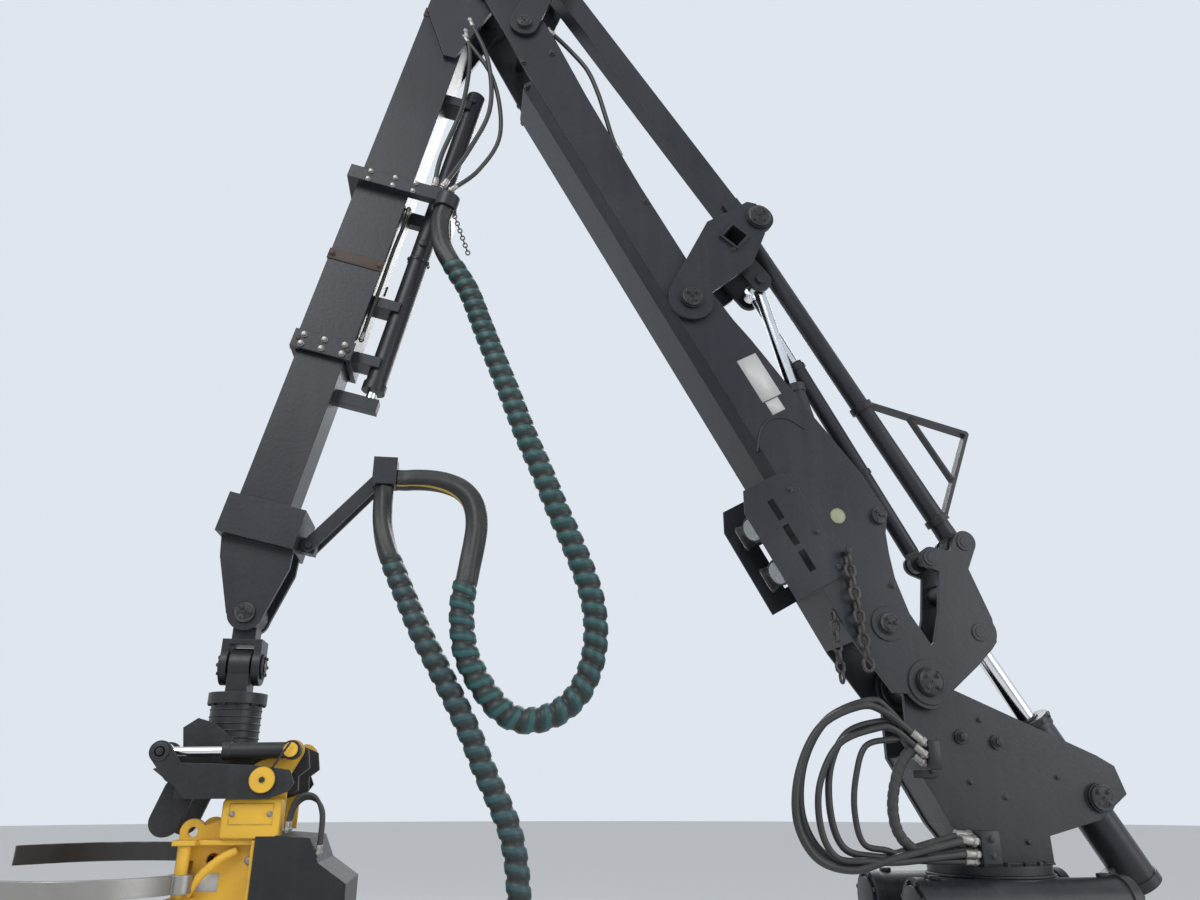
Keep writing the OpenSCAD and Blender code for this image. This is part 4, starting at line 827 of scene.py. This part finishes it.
# Stick and telescope
# A box stick with a square telescope inside. Band clamps, wear block bolts at the
# collar and the cylinder's gland stand out. The clamps are a little rusty.
dress(charcoal, "stick", "telescope", "ext_barrel", "valve_bracket", "hose_arm", "tip_link")
dress(chrome, "ext_rod")
stick_lean = 77.6
stick_side = 0.110
band_thick = 0.005
cylinder_across = -0.085
stick_turn = Matrix.Rotation(math.radians(stick_lean), 4, "Y")
stick_axis = stick_turn.to_3x3() @ Vector((1, 0, 0))
stick_front = stick_turn.to_3x3() @ Vector((0, 0, 1))


def on_stick(along, across, y):
    """A place given along the stick from its pin and across it, forward."""
    return Vector(stick_pin) + stick_turn.to_3x3() @ Vector((along, 0, across)) + Vector((0, y, 0))


rusty = paint("rusty_clamps", (0.060, 0.046, 0.038), (0.16, 0.075, 0.035), 0.60, 0.8, 0.9,
              dust_colour=(0.17, 0.085, 0.045), grain=80, width=0.008)
bm = bmesh.new()
for along in (0.25, 1.82, 2.285):
    for s in (-1, 1):
        beside = s * (stick_side + band_thick / 2)
        add_block(bm, on_stick(along, 0.168, beside), (0.055, band_thick, 0.262), stick_turn, 0.0015)
        for across in (0.055, 0.280):
            add_bolt(bm, on_stick(along, across, s * (stick_side + band_thick)), (0, s, 0), 0.022)
    add_block(bm, on_stick(along, 0.2955, 0), (0.055, 0.225, band_thick), stick_turn, 0.0015)
add_piece(bm, "stick_band_clamps", "stick", rusty)
collar_side = 0.122
wear_block_rows = (2.262, 2.308)
bm = bmesh.new()
for s in (-1, 1):
    for along in wear_block_rows:
        for across in (0.075, 0.168, 0.260):
            add_bolt(bm, on_stick(along, across, s * collar_side), (0, s, 0), 0.024)
for along in wear_block_rows:
    for y in (-0.06, 0.06):
        add_bolt(bm, on_stick(along, 0.305, y), stick_front, 0.024)
for along in (1.352, 1.398):
    for across in (0.02, 0.12, 0.24):
        add_bolt(bm, on_stick(along, across, 0.156), (0, 1, 0), 0.020)
add_piece(bm, "stick_fasteners", "stick", zinc)
bm = bmesh.new()
add_gland(bm, on_stick(1.70, cylinder_across, 0), stick_axis, 0.0475, 0.025)
for along in (0.68, 1.60):
    add_disc(bm, on_stick(along, cylinder_across, 0.0465), (0, 1, 0), 0.020, 0.012, 0.002, 6)
add_piece(bm, "telescope_cylinder_gland", "stick", charcoal)


def striped_rubber():
    """Black rubber with one yellow lay line, placed by the hose's own UV map."""
    made, tree, main, add = shader("striped_tube")
    lay = add("ShaderNodeUVMap", uv_map="along").outputs[0]
    around = add("ShaderNodeSeparateXYZ", Vector=lay).outputs["X"]
    line = worked(tree, "COMPARE", around, 0.25, 0.06)
    two_tone = mixed(tree, line, (0.020, 0.020, 0.021, 1), (0.55, 0.38, 0.03, 1))
    place_grime(tree, main, two_tone, road_dust, 0.4, 140, 0.5, 0.0005)
    return made


rubber_hose("striped_pilot_hose", [on_stick(1.44, 0.030, 0.070), on_stick(1.54, 0.027, 0.066),
            on_stick(1.70, 0.031, 0.070), on_stick(1.883, 0.028, 0.072), on_stick(2.05, 0.031, 0.068),
            on_stick(2.20, 0.028, 0.070)], 0.018, "stick", material=striped_rubber())
# Three hoses hang in a loose curve behind the stick. Each row: thickness, side, start along
# the stick, then its upper point on the stick, a middle and a low point, and where it ends across
knee_loops = [
    (0.024, 0.125, 0.310, (0.492, -0.013), (2.370, 3.911), (2.455, 3.600), -0.064),
    (0.024, 0.140, 0.230, (0.478, -0.105), (2.229, 3.912), (2.317, 3.651), -0.100),
    (0.022, 0.130, 0.350, (0.580, -0.160), (2.171, 3.770), (2.265, 3.540), -0.136),
]
for i, (thick, y, leave, top, middle, low, last) in enumerate(knee_loops):
    rubber_hose("knee_hose_%d" % (i + 1), [
        on_stick(leave, 0.062, 0.124), on_stick(*top, y), (middle[0], y + 0.012, middle[1]),
        (low[0], y + 0.008, low[1]), on_stick(1.330, last, y)], thick, "stick")

# Tip link and rotator
# A cardan link with brake discs on two crossed pins carries the rotator, whose body has
# a ring of bolts and five ribs.
rotor_steel = paint("rotator_paint", (0.016, 0.017, 0.022), edge_wear_and_highlight_grey, 0.38, 0.45, 0.7)
dress(rotor_steel, "rotator")
tip = Vector((3.0878, 0, 1.3311))
cross = Vector((3.0878, 0, 1.1311))
bm = bmesh.new()
cap_pin(bm, tip, 0.088, 0.040, 3, 0.016)
for e in (-1, 1):
    add_disc(bm, cross + Vector((e * 0.0765, 0, 0)), (e, 0, 0), 0.050, 0.008, 0.002, 40)
    for k in range(6):
        a = math.pi * k / 3
        spot = cross + Vector((e * 0.0845, 0.036 * math.cos(a), 0.036 * math.sin(a)))
        add_bolt(bm, spot, (e, 0, 0), 0.014)
add_piece(bm, "tip_link_fasteners", "tip_link", dark_bolts)
bm = bmesh.new()
for k in range(12):
    a = math.pi * (k + 0.5) / 6
    add_bolt(bm, cross + Vector((0.101 * math.cos(a), 0.101 * math.sin(a), -0.150)), (0, 0, -1), 0.012)
for k in range(5):
    add_ring(bm, cross + Vector((0, 0, -0.172 - 0.026 * k)), (0, 0, 1), 0.0952, 0.003, 72)
add_piece(bm, "rotator_ribs", "rotator", rotor_steel)

# Tilt frame and head
# The head hangs from a black tilt frame. Its column, feed arms and top cover are yellow,
# its valve cover and saw box black.
yellow = paint("harvester_yellow", (0.72, 0.42, 0.035), (0.10, 0.09, 0.085), 0.40, 0.45, 0.75, coat=0.15,
               width=0.007)
black_paint = paint("black_covers", (0.012, 0.0125, 0.015), edge_wear_and_highlight_grey, 0.45, 0.45, 0.6)
roller_steel = paint("roller_steel", (0.075, 0.070, 0.065), (0.35, 0.34, 0.33), 0.45, 0.5, 0.9, metal=0.7)
knife_steel = paint("knife_steel", (0.33, 0.32, 0.30), (0.6, 0.6, 0.6), 0.35, 0.4, 0.9, metal=0.8)
# The right knives on the far side get a darker, less metallic copy of the knife steel: painted shade.
knife_steel_painted_shade = paint("knife_steel_painted_shade", (0.05, 0.048, 0.046), (0.4, 0.4, 0.4), 0.42, 0.45, 0.9, metal=0.5)
bar_steel = paint("saw_bar_steel", (0.42, 0.42, 0.42), (0.6, 0.6, 0.6), 0.30, 0.35, 0.5, metal=0.9)
dress(black_paint, "tilt_frame", "valve_cover", "saw_box", "tilt_barrels")
dress(yellow, "head_frame", "chute_plate", "feed_arm_left", "feed_arm_right")
dress(chrome, "tilt_rods")
dress(roller_steel, "feed_roller_left", "feed_roller_right")
dress(knife_steel, "upper_knife_left", "lower_knife_left")
# The far side's knives take the shaded copy of the knife steel: painted shade.
dress(knife_steel_painted_shade, "upper_knife_right", "lower_knife_right")
dress(bar_steel, "saw_bar")
dress(zinc, "hose_coupling")


def at_head(dx, y, dz):
    """A place given from the cross pin, as the head hangs at rest."""
    return cross + Vector((dx, y, dz))


cheek_side = 0.252
column_side = 0.162
bm = bmesh.new()
for k in range(10):
    a = math.pi * (k + 0.5) / 5
    add_bolt(bm, at_head(0.101 * math.cos(a), 0.101 * math.sin(a), -0.3183), (0, 0, 1), 0.012)
for s, side in both_sides:
    for dx, dz in ((-0.180, -0.430), (0.185, -0.335)):
        add_disc(bm, at_head(dx, s * cheek_side, dz), (0, s, 0), 0.032, 0.006, 0.002, 32)
        add_bolt(bm, at_head(dx, s * (cheek_side + 0.006), dz), (0, s, 0), 0.022)
    beside = s * (cheek_side + 0.0005)
    weld("tilt_cheek_weld_" + side,
         [at_head(-0.262, beside, -0.300), at_head(-0.205, beside, -0.395)], 0.004, "rotor")
add_piece(bm, "tilt_frame_fasteners", "rotor", dark_bolts)
bm = bmesh.new()
for s in (-1, 1):
    for dz in (-0.70, -0.95, -1.55, -1.75):
        for dx in (-0.150, 0.070):
            add_bolt(bm, at_head(dx, s * column_side, dz), (0, s, 0), 0.024)
for dy in (-0.17, 0.0, 0.17):
    for dz in (-1.12, -1.35):
        add_bolt(bm, at_head(-0.503, dy, dz), (-1, 0, 0), 0.020)
add_piece(bm, "head_fasteners", "head", zinc)
bm = bmesh.new()
plate = (0.110, label_thick, 0.060)
add_block(bm, at_head(0.000, column_side + label_thick / 2, -0.770), plate, chamfer=0.0004)
add_piece(bm, "blank_head_plate", "head", blank_white)

bm = bmesh.new()
add_block(bm, at_head(-0.150, 0.187, -0.5605), (0.209, 0.070, 0.139), chamfer=0.016)
add_block(bm, at_head(-0.150, 0.2225, -0.545), (0.150, 0.004, 0.070), chamfer=0.0015)
add_piece(bm, "head_top_cover", "head", yellow)
bm = bmesh.new()
for dx in (-0.215, -0.085):
    add_bolt(bm, at_head(dx, 0.2245, -0.545), (0, 1, 0), 0.016)
add_piece(bm, "head_top_cover_bolts", "head", zinc)

# Short hoses on the head
# Three thin hoses loop over the valve cover, and one in yellow spiral guard runs down
# the frame plate.
for i, y in enumerate((0.165, 0.187, 0.209)):
    lift = 0.006 * i
    rubber_hose("head_loop_hose_%d" % (i + 1), [
        at_head(-0.278, y, -0.606), at_head(-0.279, y, -0.570), at_head(-0.292, y, -0.520 + lift),
        at_head(-0.325, y, -0.492 + lift), at_head(-0.366, y, -0.500 + lift), at_head(-0.392, y, -0.540),
        at_head(-0.396, y, -0.610), at_head(-0.394, y, -0.685)], 0.015, "head")
rubber_hose("head_yellow_hose", [
    at_head(-0.110, 0.181, -0.665), at_head(-0.055, 0.196, -0.695), at_head(0.005, 0.204, -0.755),
    at_head(0.045, 0.202, -0.830), at_head(0.062, 0.192, -0.905), at_head(0.066, 0.181, -0.980)],
    0.030, "head", ends=False, material=yellow, wrapped=0.026)
